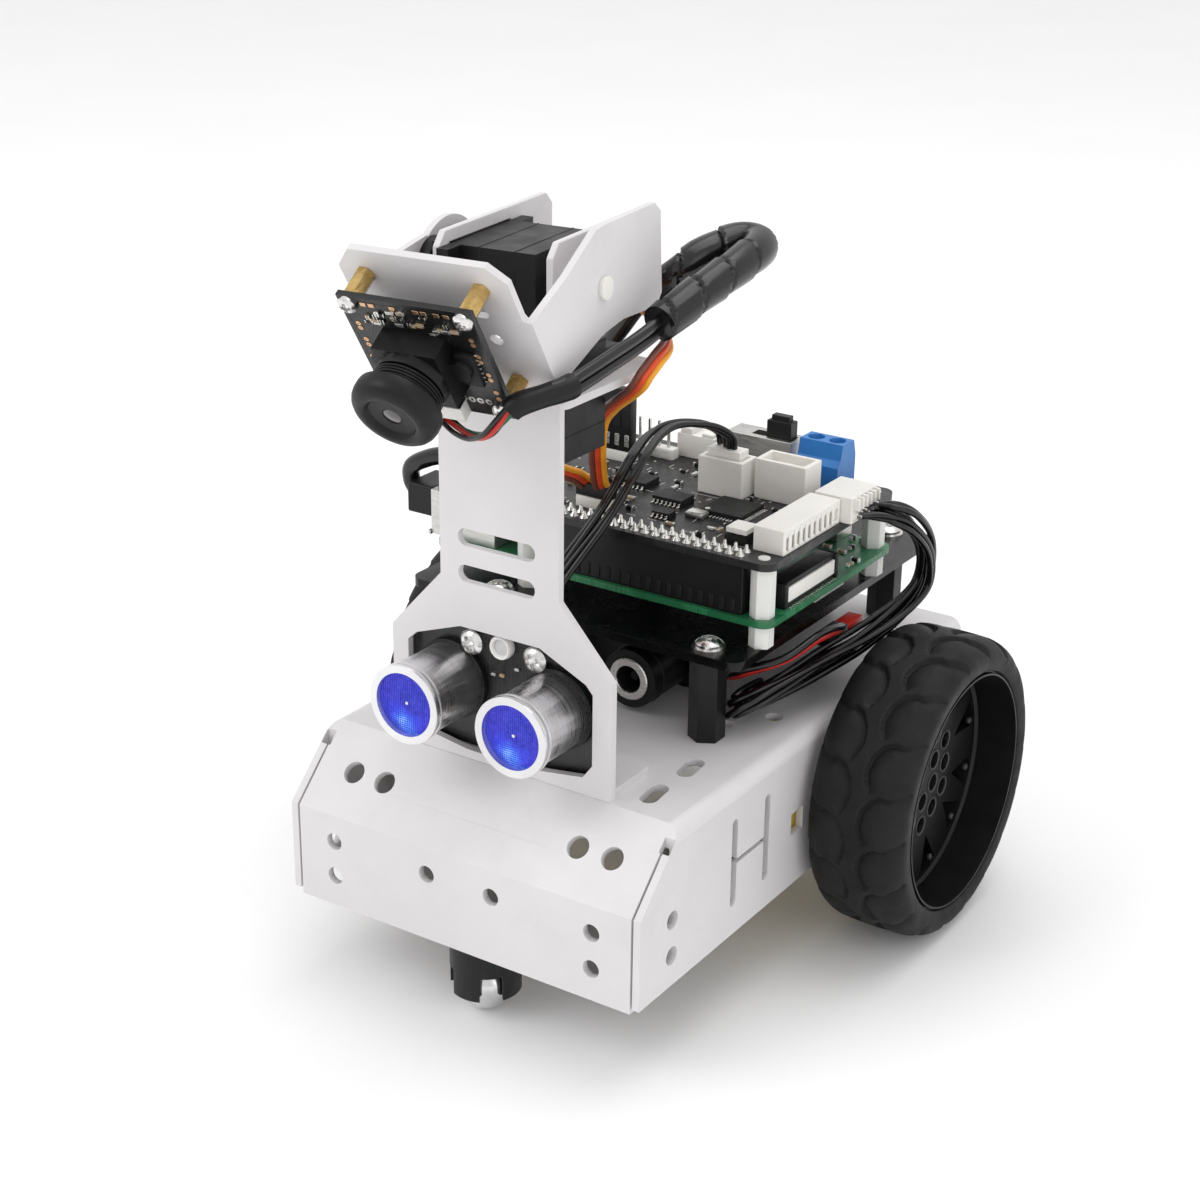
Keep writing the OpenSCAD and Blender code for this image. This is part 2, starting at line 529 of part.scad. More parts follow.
module turn_servo_horn() color([0.9, 0.9, 0.9]) at_axle() translate([0, -turn_reach, 0]) {
    cyl_z(2.4, boss_top - 3, boss_top + 0.4);
    cyl_z(5.5, boss_top + 0.4, yoke_floor);
}

// ---- head, drawn straight ahead and level ----
module at_pan() at_axle() translate([0, -pan_reach, 0]) rotate([0, 0, pan_rest]) children();
module at_tilt() at_pan() translate([0, 0, tilt_z]) rotate([tilt_rest, 0, 0]) children();

module yoke_side(x0, front, rear) difference() {
    side_extrude(x0, x0 + yoke_t) polygon([[front, yoke_floor], [front, yoke_top - 2.6], [front + 2.4, yoke_top],
        [rear - 2.4, yoke_top], [rear, yoke_top - 2.4], [rear, yoke_floor + 6], [rear - 12, yoke_floor]]);
    children();
}
module head_yoke() color([0.93, 0.93, 0.93]) at_pan() {
    yoke_side(yoke_left, -9.6, 33.6) {
        block(yoke_left - 1, yoke_left + 3, -6.1, 16.9, tilt_z - 6.15, tilt_z + 6.15);
        for (y = [-8.3, 19.5]) cyl_x(1, yoke_left - 1, yoke_left + 3, y, tilt_z);
    }
    yoke_side(yoke_right - yoke_t, -7.4, 33.6) cyl_x(1.6 + fit, yoke_right - 3, yoke_right + 1, 0, tilt_z);
    difference() {
        block(yoke_left, yoke_right, -9.6, 21.6, yoke_floor, yoke_floor + yoke_t);
        rotate([0, 0, -pan_rest]) cyl_z(1.2, yoke_floor - 1, yoke_floor + 3, 0, pan_reach - turn_reach);
    }
}
servo_left = yoke_left + yoke_t + servo_ear_t;
module tilt_servo() color([0.15, 0.15, 0.16]) at_pan() translate([0, 0, tilt_z]) {
    difference() {
        union() {
            block(yoke_left - 2.4, servo_left + 15.8, -shaft_off, servo_l - shaft_off, -servo_w / 2, servo_w / 2);
            block(yoke_left + yoke_t, servo_left, -shaft_off - servo_ear, servo_l - shaft_off + servo_ear, -servo_w / 2, servo_w / 2);
        }
        cyl_x(2.4 + fit, yoke_left - 3, yoke_left + 2);
        for (y = [-8.3, 19.5]) cyl_x(1, yoke_left, servo_left + 1, y);
    }
    for (y = [-8.3, 19.5]) translate([servo_left, y, 0]) rotate([0, 90, 0]) pan_screw(1.8, 1.1, 0.98, 5);
}
module tilt_servo_horn() color([0.1, 0.1, 0.1]) at_pan() translate([0, 0, tilt_z]) {
    cyl_x(2.4, bracket_left + bracket_t - 0.4, yoke_left + 1.8);
    cyl_x(5.4, bracket_left + bracket_t, bracket_left + bracket_t + 2.4);
}
module tilt_pivot() color([0.85, 0.85, 0.85]) at_pan() translate([0, 0, tilt_z]) {
    cyl_x(1.6, yoke_right - 2.4, bracket_right + 0.2);
    cyl_x(2.8, yoke_right + 0.4, bracket_right - bracket_t);
    cyl_x(2.2, bracket_right, bracket_right + 0.9);
}

right_wing = [
    [-camera_gap, 14.6], [-9, 12.2], [3.6, 11.2], [7, 9.4], [23.6, -1.6], [24.6, -4.6],
    [16.6, -18.6], [13.6, -19.4], [2.4, -11], [-4.7, -7.4], [-camera_gap, -2.6]
];
plate_face = [
    [bracket_left + 4.4, -5.4], [bracket_left + 1.4, -2.6], [bracket_left + 1.4, 14.4], [-19.2, 15.4], [-19.2, 23], [-15.6, 27.6],
    [12.4, 27.6], [15.8, 24], [15.8, 15.4], [bracket_right - 1.4, 14.4], [bracket_right - 1.4, -2.6], [bracket_right - 4.4, -5.4]
];
module camera_bracket() color([0.93, 0.92, 0.93]) at_tilt() {
    difference() {
        side_extrude(bracket_right - bracket_t, bracket_right) polygon(right_wing);
        cyl_x(1.6 + fit, bracket_right - 3, bracket_right + 1);
    }
    difference() {
        side_extrude(bracket_left, bracket_left + bracket_t) {
            polygon([[-camera_gap, 14.6], [-9, 11], [2, 5.6], [2, -19], [-4.7, -9], [-camera_gap, -2.6]]);
            translate([3, -7]) circle(r = 12.2, $fn = 64);
        }
        cyl_x(2.4 + 0.01, bracket_left - 1, bracket_left + 3);
    }
    difference() {
        translate([0, -camera_gap + bracket_t, 0]) rotate([90, 0, 0]) linear_extrude(bracket_t) difference() {
            polygon(plate_face);
            translate([8.6, 8.7]) circle(r = 1.3, $fn = 24);
            translate([-12.6, 8.7]) circle(r = 1.3, $fn = 24);
            translate([6.4, 15.2]) slot_2d(5.4, 2);
        }
        for (x = [-11.8, 11.8], z = [-11.8, 11.8]) cyl_y(1.05, -camera_gap - 2, -camera_gap + 3, camera_x + x, camera_z + z);
    }
}
camera_back = -camera_gap - camera_pillar;
camera_face = camera_back - 1.2;
// The camera board, with the wire socket at the middle of its lower edge.
module camera_board_plate() color([0.1, 0.1, 0.11]) at_tilt() {
    difference() {
        translate([camera_x - camera_board / 2, camera_face, camera_z - camera_board / 2]) cube([camera_board, 1.2, camera_board]);
        for (x = [-11.8, 11.8], z = [-11.8, 11.8]) cyl_y(1.05, camera_face - 1, camera_back + 1, camera_x + x, camera_z + z);
    }
    translate([camera_x - 4.5, camera_face - 2.4, camera_z - camera_board / 2 + 0.2]) cube([9, 2.5, 3.4]);
}
module camera_pillars() color([0.83, 0.68, 0.35]) at_tilt() for (x = [-11.8, 11.8], z = [-11.8, 11.8]) difference() {
    translate([camera_x + x, -camera_gap, camera_z + z]) rotate([90, 0, 0]) cylinder(r = 1.9, h = camera_pillar, $fn = 6);
    cyl_y(1, camera_back - 1, -camera_gap + 1, camera_x + x, camera_z + z);
}
module camera_screws() color([0.78, 0.78, 0.79]) at_tilt() for (x = [-11.8, 11.8], z = [-11.8, 11.8]) {
    translate([camera_x + x, camera_face, camera_z + z]) rotate([90, 0, 0]) pan_screw(1.9, 1.3, 0.99, 4);
    translate([camera_x + x, -camera_gap + bracket_t, camera_z + z]) rotate([-90, 0, 0]) pan_screw(1.9, 1.3, 0.99, 4);
}
module lens_holder() color([0.06, 0.06, 0.065]) at_tilt() difference() {
    union() {
        translate([camera_x - 6.6, camera_face - 5, camera_z - 6.6]) cube([13.2, 5, 13.2]);
        translate([camera_x, camera_face, camera_z]) rotate([90, 0, 0]) linear_extrude(2.4) slot_2d(20.4, 4.6);
        cyl_y(6.8, camera_face - 7, camera_face - 5, camera_x, camera_z);
    }
    cyl_y(5.2 + fit, camera_face - 8, camera_face - 1, camera_x, camera_z);
    block(-30, 30, camera_face - 20, camera_face - 10, 0, 30);
}
module lens_barrel() color([0.08, 0.08, 0.085]) at_tilt() translate([camera_x, 0, camera_z]) {
    cyl_y(5.2, camera_face - 9, camera_face - 1.4);
    cyl_y(6.9, camera_face - 10.2, camera_face - 7.3);
    difference() {
        cyl_y(lens_ring_d / 2, camera_face - 15, camera_face - 10);
        cyl_y(lens_ring_d / 2 - 1.6, camera_face - 16, camera_face - 13.6);
    }
}

// ---- leads: each is a tube swept along hand-placed points ----
function unit(v) = v / max(norm(v), 0.0001);
function turned(points, i) = unit(points[min(i + 1, len(points) - 1)] - points[max(i - 1, 0)]);
function across(d) = abs(d[2]) > 0.9 ? unit(cross(d, [0, 1, 0])) : unit(cross(d, [0, 0, 1]));
function bend_point(p, i, t) =
    let (a = p[max(i - 1, 0)], b = p[i], c = p[i + 1], d = p[min(i + 2, len(p) - 1)])
    0.5 * (2 * b + (c - a) * t + (2 * a - 5 * b + 4 * c - d) * t * t + (3 * b - a - 3 * c + d) * t * t * t);
function smooth(p, steps) = concat([for (i = [0:len(p) - 2], s = [0:steps - 1]) bend_point(p, i, s / steps)], [p[len(p) - 1]]);
function place(p) = [p[0], p[1], p[2]];
// A point may carry its own thickness as a fourth number; the others take d.
module tube(route, d, steps = 3, sides = 8) {
    full = smooth([for (p = route) [p[0], p[1], p[2], len(p) > 3 ? p[3] : d]], steps);
    path = [for (p = full) place(p)];
    count = len(path);
    rings = [for (i = [0:count - 1]) let (t = turned(path, i), u = across(t), v = cross(t, u), r = full[i][3] / 2)
        for (k = [0:sides - 1]) path[i] + r * (cos(360 * k / sides) * u + sin(360 * k / sides) * v)];
    walls = [for (i = [0:count - 2], k = [0:sides - 1]) let (n = (k + 1) % sides)
        [(i + 1) * sides + k, (i + 1) * sides + n, i * sides + n, i * sides + k]];
    polyhedron(rings, concat([[for (k = [0:sides - 1]) k]], walls,
        [[for (k = [0:sides - 1]) count * sides - 1 - k]]), convexity = 6);
}
camera_route = [
    [-1, -93.6, 130, 3], [2, -93.4, 128.4, 3], [6.5, -94.6, 128.2, 3], [11, -96.6, 130, 3], [14.6, -97.4, 133.4, 3.2],
    [17, -96.5, 136.4, 4.4], [19.4, -91.8, 137.4, 4.4], [21.6, -86.8, 138.2, 4.4], [22, -80, 139.2], [22, -73, 140.2],
    [22, -66.6, 141.1], [22.2, -60.6, 142.4], [22.6, -58, 143.6, 7.6], [23.2, -53, 145.2, 7.6], [23.8, -45.6, 147.2, 7.6],
    [24.2, -38, 148.8, 7.6], [24.2, -31, 150.1, 7.6], [23.6, -24.6, 150.9, 7.6], [21.8, -19.6, 151.3, 7.6],
    [19, -17.8, 151.4, 7.6], [16.4, -19.2, 151.2, 7.6], [14.6, -23.6, 150.4, 7.6], [13.2, -28, 149.2, 7.6],
    [11, -32, 146.8, 7.6], [6.6, -33, 143.2, 7], [1.6, -32.6, 138.6, 6], [-4, -31.4, 131.8, 5], [-11, -29.6, 124, 4],
    [-22, -29, 114], [-34, -30, 104], [-46, -31, 97.6], [-54, -31, 94.6], [-59, -30.6, 91.6], [-59.8, -30, 88.2],
    [-58.6, -30, 86.4], [-57.04, -30, 86.2]
];
module camera_lead() color([0.07, 0.07, 0.08]) at_axle() tube(camera_route, 4);
module lead_plug() color([0.06, 0.06, 0.07]) at_axle() {
    block(-57, -49.8, -35.4, -24.6, 82.6, 89.6);
    block(-50, -37, -34.4, -25.6, 85.4, 88.6);
}
tilt_lead_route = [
    [1.6, -49.6, 150], [3.4, -45.8, 148], [5, -43.8, 144.6], [9, -44, 141.8], [15, -47.6, 140.2], [20, -53.6, 138.8],
    [22.2, -58.6, 137], [21.2, -60.2, 134.2], [18.4, -58.6, 130.8], [12.6, -53, 126.6], [4, -46, 120.6], [-1.9, -41, 114.8],
    [-5.4, -36.4, 106.7], [-7.4, -32.4, 99], [-8, -30, 96.4]
];
turn_lead_route = [
    [-2, -49.2, 117.4], [-8, -47.8, 111], [-12, -44.4, 105.4], [-13, -39, 102], [-12.4, -33.6, 99.4], [-12, -30, 96.6]
];
module servo_leads() color([0.85, 0.42, 0.12]) at_axle() {
    tube(tilt_lead_route, 3);
    tube(turn_lead_route, 3);
}
sensor_route = [
    [8, -5.5, 102.3], [7.6, -6.4, 105.4], [5, -10, 108], [1.6, -16, 109], [0.8, -23, 108.4], [1.4, -32, 105], [0, -41, 97],
    [-5, -48, 86], [-7, -55, 78], [-6, -63, 74.6], [-2, -68.6, 73.6]
];
module sensor_lead() color([0.06, 0.06, 0.07]) at_axle() tube(sensor_route, 3);
motor_route = [
    [41.2, -2.4, 94.8], [45, -1.6, 94.4], [47.8, 4, 91], [48.4, 11, 83.6], [47, 14, 74], [44.5, 8, 68], [41.5, -4, 64.6],
    [39, -16, 63.4], [37, -27, 62.4], [34, -35, 60.6], [31, -37, 58.6], [29.6, -32, 57.4], [30, -24, 57.2]
];
power_route = [[13, -26, 62], [18, -30, 62], [25, -34, 63], [31, -34, 65.6], [37.4, -30, 68.4], [40, -20, 70.6], [38.8, -8, 68]];
module motor_lead() color([0.06, 0.06, 0.07]) at_axle() tube(motor_route, 6);
module power_lead() color([0.75, 0.1, 0.1]) at_axle() tube(power_route, 2.4);

chassis_shell();
fixing_screws();
mast_bracket();
sensor_board();
sensor_cans();
sensor_lights();
sensor_screws();
sensor_parts();
caster_housing();
caster_ball();
motor_gearbox_left();
motor_gearbox_right();
motor_can_left();
motor_can_right();
motor_screws();
wheel_shaft_left();
wheel_shaft_right();
wheel_rim_left();
wheel_rim_right();
wheel_tyre_left();
wheel_tyre_right();
carrier_plate();
plate_pillars();
plate_screws();
board_pillars();
computer_board();
computer_parts();
usb_ports();
pin_socket();
controller_board();
controller_chips();
sensor_sockets();
motor_socket();
controller_headers();
push_button_base();
push_button_cap();
switch_case();
switch_knob();
power_terminal();
terminal_screws();
battery_pack();
battery_socket();
turn_servo();
turn_servo_horn();
head_yoke();
tilt_servo();
tilt_servo_horn();
tilt_pivot();
camera_bracket();
camera_board_plate();
camera_pillars();
camera_screws();
lens_holder();
lens_barrel();
camera_lead();
lead_plug();
servo_leads();
sensor_lead();
motor_lead();
power_lead();
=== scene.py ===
import math
import random

import bmesh
import bpy
import numpy as np
from mathutils import Matrix, Vector


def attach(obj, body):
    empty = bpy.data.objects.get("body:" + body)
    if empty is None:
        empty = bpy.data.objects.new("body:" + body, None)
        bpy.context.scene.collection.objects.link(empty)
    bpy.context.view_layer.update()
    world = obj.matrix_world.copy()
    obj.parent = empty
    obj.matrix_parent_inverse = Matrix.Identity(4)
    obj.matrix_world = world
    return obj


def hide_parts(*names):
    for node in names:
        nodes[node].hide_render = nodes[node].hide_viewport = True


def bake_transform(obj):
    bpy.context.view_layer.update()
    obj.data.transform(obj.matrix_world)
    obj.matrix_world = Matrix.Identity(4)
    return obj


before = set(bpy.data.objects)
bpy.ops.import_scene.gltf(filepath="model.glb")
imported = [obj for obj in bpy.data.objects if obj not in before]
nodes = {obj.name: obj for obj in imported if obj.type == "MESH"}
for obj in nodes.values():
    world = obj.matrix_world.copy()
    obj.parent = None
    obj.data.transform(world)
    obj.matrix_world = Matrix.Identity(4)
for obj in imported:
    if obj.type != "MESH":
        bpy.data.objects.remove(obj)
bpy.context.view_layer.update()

# Lengths are in millimetres. ROW's origin is on the ground under the middle of the wheel axle.
MM = 0.001
AXLE_Y = 36.3
WHEEL_R = 33.7
AXLE_Z = WHEEL_R
TRACK = 135.2
TYRE_W = 22.6

ROW = Matrix.Translation((0, AXLE_Y, 0))
PAN = ROW @ Matrix.Translation((0, -71.2, 0)) @ Matrix.Rotation(math.radians(5.8), 4, "Z")
TILT_Z = 152.2
TILT = PAN @ Matrix.Translation((0, 0, TILT_Z)) @ Matrix.Rotation(math.radians(34), 4, "X")
# Frames with their origin on a board: on the controller's top, the computer's top, the camera's front.
HAT = ROW @ Matrix.Translation((0, 0, 91.9))
BOARD = ROW @ Matrix.Translation((0, 0, 79.3))
EYE = TILT @ Matrix.Translation((-2, -29.8, 9.9))

NEAR_BLACK = 0.04  # a plastic with no channel above this is made deeper and duller,
DEEPEN = 0.42  # by this much
BEVEL_FROM = math.radians(25)  # a shape's bevel takes edges sharper than this


def at(x, y, z, place=ROW):
    return (place @ Vector((x, y, z))) * MM


# ---------------------------------------------------------------- materials
class Paint:
    """A node material: a Principled shader fed by noise, lines and bumps in object space."""

    def __init__(self, name):
        self.mat = bpy.data.materials.new(name)
        self.mat.use_nodes = True
        self.tree = self.mat.node_tree
        self.tree.nodes.clear()
        out = self.add("ShaderNodeOutputMaterial")
        self.shader = self.add("ShaderNodeBsdfPrincipled")
        self.join(self.shader.outputs[0], out.inputs[0])
        self.place = self.add("ShaderNodeTexCoord").outputs["Object"]

    def add(self, kind, **settings):
        made = self.tree.nodes.new(kind)
        for key, value in settings.items():
            setattr(made, key, value)
        return made

    def join(self, a, b):
        self.tree.links.new(a, b)

    def scaled(self, stretch):
        mapping = self.add("ShaderNodeMapping")
        mapping.inputs["Scale"].default_value = stretch
        self.join(self.place, mapping.inputs["Vector"])
        return mapping.outputs[0]

    def noise(self, scale, detail=3, rough=0.55, stretch=(1, 1, 1), twist=0.0):
        made = self.add("ShaderNodeTexNoise")
        self.join(self.scaled(stretch), made.inputs["Vector"])
        made.inputs["Scale"].default_value = scale
        made.inputs["Detail"].default_value = detail
        made.inputs["Roughness"].default_value = rough
        made.inputs["Distortion"].default_value = twist
        return made.outputs["Fac"]

    def cells(self, scale, stretch):
        """Distance to the nearest cell's middle, counted along the axes."""
        made = self.add("ShaderNodeTexVoronoi", feature="F1", distance="MANHATTAN")
        self.join(self.scaled(stretch), made.inputs["Vector"])
        made.inputs["Scale"].default_value = scale
        return made.outputs["Distance"]

    def ramp(self, factor, stops):
        made = self.add("ShaderNodeValToRGB")
        band = made.color_ramp
        while len(band.elements) < len(stops):
            band.elements.new(0.5)
        for element, (where, colour) in zip(band.elements, stops):
            element.position = where
            element.color = (*colour, 1)
        self.join(factor, made.inputs[0])
        return made.outputs[0]

    def spread(self, factor, low, high, start=0.3, end=0.7):
        made = self.add("ShaderNodeMapRange")
        self.join(factor, made.inputs["Value"])
        for key, value in (("From Min", start), ("From Max", end), ("To Min", low), ("To Max", high)):
            made.inputs[key].default_value = value
        return made.outputs[0]

    def mix(self, factor, a, b):
        made = self.add("ShaderNodeMix", data_type="RGBA")
        for value, socket in ((factor, 0), (a, 6), (b, 7)):
            if isinstance(value, (int, float)):
                made.inputs[socket].default_value = value
            elif isinstance(value, tuple):
                made.inputs[socket].default_value = (*value, 1)
            else:
                self.join(value, made.inputs[socket])
        return made.outputs[2]

    def maths(self, kind, a, b=0.0):
        made = self.add("ShaderNodeMath", operation=kind)
        for value, socket in ((a, 0), (b, 1)):
            if isinstance(value, (int, float)):
                made.inputs[socket].default_value = value
            else:
                self.join(value, made.inputs[socket])
        return made.outputs[0]

    def bump(self, height, distance, strength=1.0, below=None):
        made = self.add("ShaderNodeBump")
        made.inputs["Strength"].default_value = strength
        made.inputs["Distance"].default_value = distance * MM
        self.join(height, made.inputs["Height"])
        if below is not None:
            self.join(below, made.inputs["Normal"])
        return made.outputs[0]

    def set(self, **values):
        for key, value in values.items():
            socket = self.shader.inputs[key.replace("_", " ")]
            if isinstance(value, (int, float)):
                socket.default_value = value
            elif isinstance(value, tuple):
                socket.default_value = (*value, 1) if len(value) == 3 and socket.type == "RGBA" else value
            else:
                self.join(value, socket)
        return self


def plastic(name, dark, light, rough=(0.35, 0.5), grain=1400, depth=0.02, patch=60, **more):
    """Moulded or painted surface: patchy colour, uneven gloss, a fine grain."""
    p = Paint(name)
    if max(light) < NEAR_BLACK:
        dark, light = [c * DEEPEN for c in dark], [c * DEEPEN for c in light]
        p.set(Specular_IOR_Level=0.3)
    p.set(Base_Color=p.ramp(p.noise(patch, 4), [(0.3, dark), (0.7, light)]))
    p.set(Roughness=p.spread(p.noise(patch * 3.1, 3), rough[0], rough[1]))
    fine = p.bump(p.noise(grain, 2), depth, 0.6)
    p.set(Normal=p.bump(p.noise(patch * 2, 2), depth * 1.6, 0.35, fine))
    p.set(**more)
    return p.mat


def brushed(name, dark, light, rough, stretch, scale=500, depth=0.012):
    """Turned or drawn metal: streaks along one direction, with a few duller patches."""
    p = Paint(name)
    streak = p.noise(scale, 4, 0.6, stretch)
    p.set(Base_Color=p.ramp(streak, [(0.3, dark), (0.7, light)]), Metallic=1.0)
    p.set(Roughness=p.maths("ADD", p.spread(streak, rough[0], rough[1]), p.spread(p.noise(90, 2), 0, 0.08)))
    p.set(Normal=p.bump(streak, depth, 0.5))
    return p.mat


def painted_sheet():
    """White powder coat: orange peel, and faint smudges."""
    p = Paint("powder_coat_white")
    base = p.ramp(p.noise(22, 5, 0.6), [(0.3, (0.64, 0.622, 0.632)), (0.7, (0.71, 0.692, 0.702))])
    smudge = p.spread(p.noise(70, 4, 0.65, twist=0.6), 0, 1, 0.56, 0.74)
    p.set(Base_Color=p.mix(p.maths("MULTIPLY", smudge, 0.16), base, (0.52, 0.5, 0.495)))
    p.set(Roughness=p.spread(p.noise(140, 3), 0.34, 0.5))
    peel = p.bump(p.noise(1500, 2, 0.5), 0.03, 0.5)
    p.set(Normal=p.bump(p.noise(260, 2, 0.5), 0.05, 0.35, peel), Specular_IOR_Level=0.45)
    return p.mat


def rubber():
    """Tyre rubber with a little dust in it."""
    p = Paint("tyre_rubber")
    base = p.ramp(p.noise(45, 5, 0.6), [(0.28, (0.005, 0.0052, 0.0054)), (0.72, (0.011, 0.0113, 0.0116))])
    dust = p.spread(p.noise(160, 5, 0.7, twist=0.8), 0, 1, 0.55, 0.8)
    p.set(Base_Color=p.mix(p.maths("MULTIPLY", dust, 0.2), base, (0.03, 0.029, 0.027)))
    p.set(Roughness=p.spread(p.noise(220, 3), 0.5, 0.68), Specular_IOR_Level=0.26)
    grain = p.bump(p.noise(2200, 3, 0.6), 0.03, 0.6)
    p.set(Normal=p.bump(p.noise(420, 2), 0.05, 0.35, grain))
    return p.mat


def circuit_board(name, mask, trace):
    """Solder mask over copper: flat tracks that stand a little proud, vias, and fine flecks."""
    p = Paint(name)
    run = p.cells(330, (1, 1, 0.05))
    lines = p.maths("PINGPONG", p.maths("MULTIPLY", run, 5.0), 0.5)
    track = p.spread(lines, 0, 1, 0.2, 0.27)
    area = p.spread(p.noise(60, 2, 0.5), 0, 1, 0.5, 0.52)
    track = p.maths("MULTIPLY", track, area)
    flecks = p.spread(p.noise(1500, 3, 0.7), 0, 1, 0.66, 0.76)
    base = p.mix(track, mask, trace)
    p.set(Base_Color=p.mix(p.maths("MULTIPLY", flecks, 0.25), base, trace))
    p.set(Roughness=p.spread(p.noise(300, 3), 0.26, 0.42), Specular_IOR_Level=0.5)
    p.set(Normal=p.bump(track, 0.03, 0.7, p.bump(p.noise(900, 2), 0.012, 0.5)))
    return p.mat


def milky(name, tint, depth=2.0, rough=(0.3, 0.45)):
    """Translucent nylon."""
    p = Paint(name)
    p.set(Base_Color=p.ramp(p.noise(80, 3), [(0.3, tuple(c * 0.94 for c in tint)), (0.7, tint)]))
    p.set(Roughness=p.spread(p.noise(240, 3), rough[0], rough[1]))
    p.set(Subsurface_Weight=0.35, Subsurface_Scale=depth * MM, Subsurface_Radius=(1.0, 0.95, 0.9))
    p.set(Normal=p.bump(p.noise(900, 2), 0.02, 0.5))
    return p.mat


def glow():
    """The lit inside of a distance sensor can, brightest low on one side."""
    p = Paint("sensor_glow")
    split = p.add("ShaderNodeSeparateXYZ")
    p.join(p.place, split.inputs[0])
    across = p.maths("MULTIPLY", p.maths("ADD", split.outputs[0], 2.6 * MM), 1 / (7 * MM))
    low = p.maths("MULTIPLY", p.maths("ADD", split.outputs[2], 5.2 * MM), 1 / (5 * MM))
    far = p.maths("SQRT", p.maths("ADD", p.maths("MULTIPLY", across, across), p.maths("MULTIPLY", low, low)))
    far = p.maths("ADD", far, p.spread(p.noise(420, 3, 0.6), -0.12, 0.12))
    stops = [(0.0, (0.5, 0.95, 1.0)), (0.24, (0.1, 0.4, 1.0)), (0.5, (0.03, 0.035, 0.6)), (1.0, (0.03, 0.012, 0.2))]
    light = p.ramp(far, stops)
    p.set(Base_Color=(0.02, 0.02, 0.2), Roughness=p.spread(p.noise(700, 2), 0.4, 0.6))
    p.set(Emission_Color=light, Emission_Strength=1.3)
    return p.mat


def lens_glass():
    """Dark coated glass with a reddish tint."""
    p = Paint("lens_glass")
    tint = p.ramp(p.noise(160, 2), [(0.3, (0.006, 0.004, 0.005)), (0.7, (0.03, 0.008, 0.01))])
    p.set(Base_Color=tint, Roughness=p.spread(p.noise(400, 2), 0.03, 0.08))
    p.set(Coat_Weight=1.0, Coat_Roughness=0.03, Specular_IOR_Level=0.7)
    return p.mat


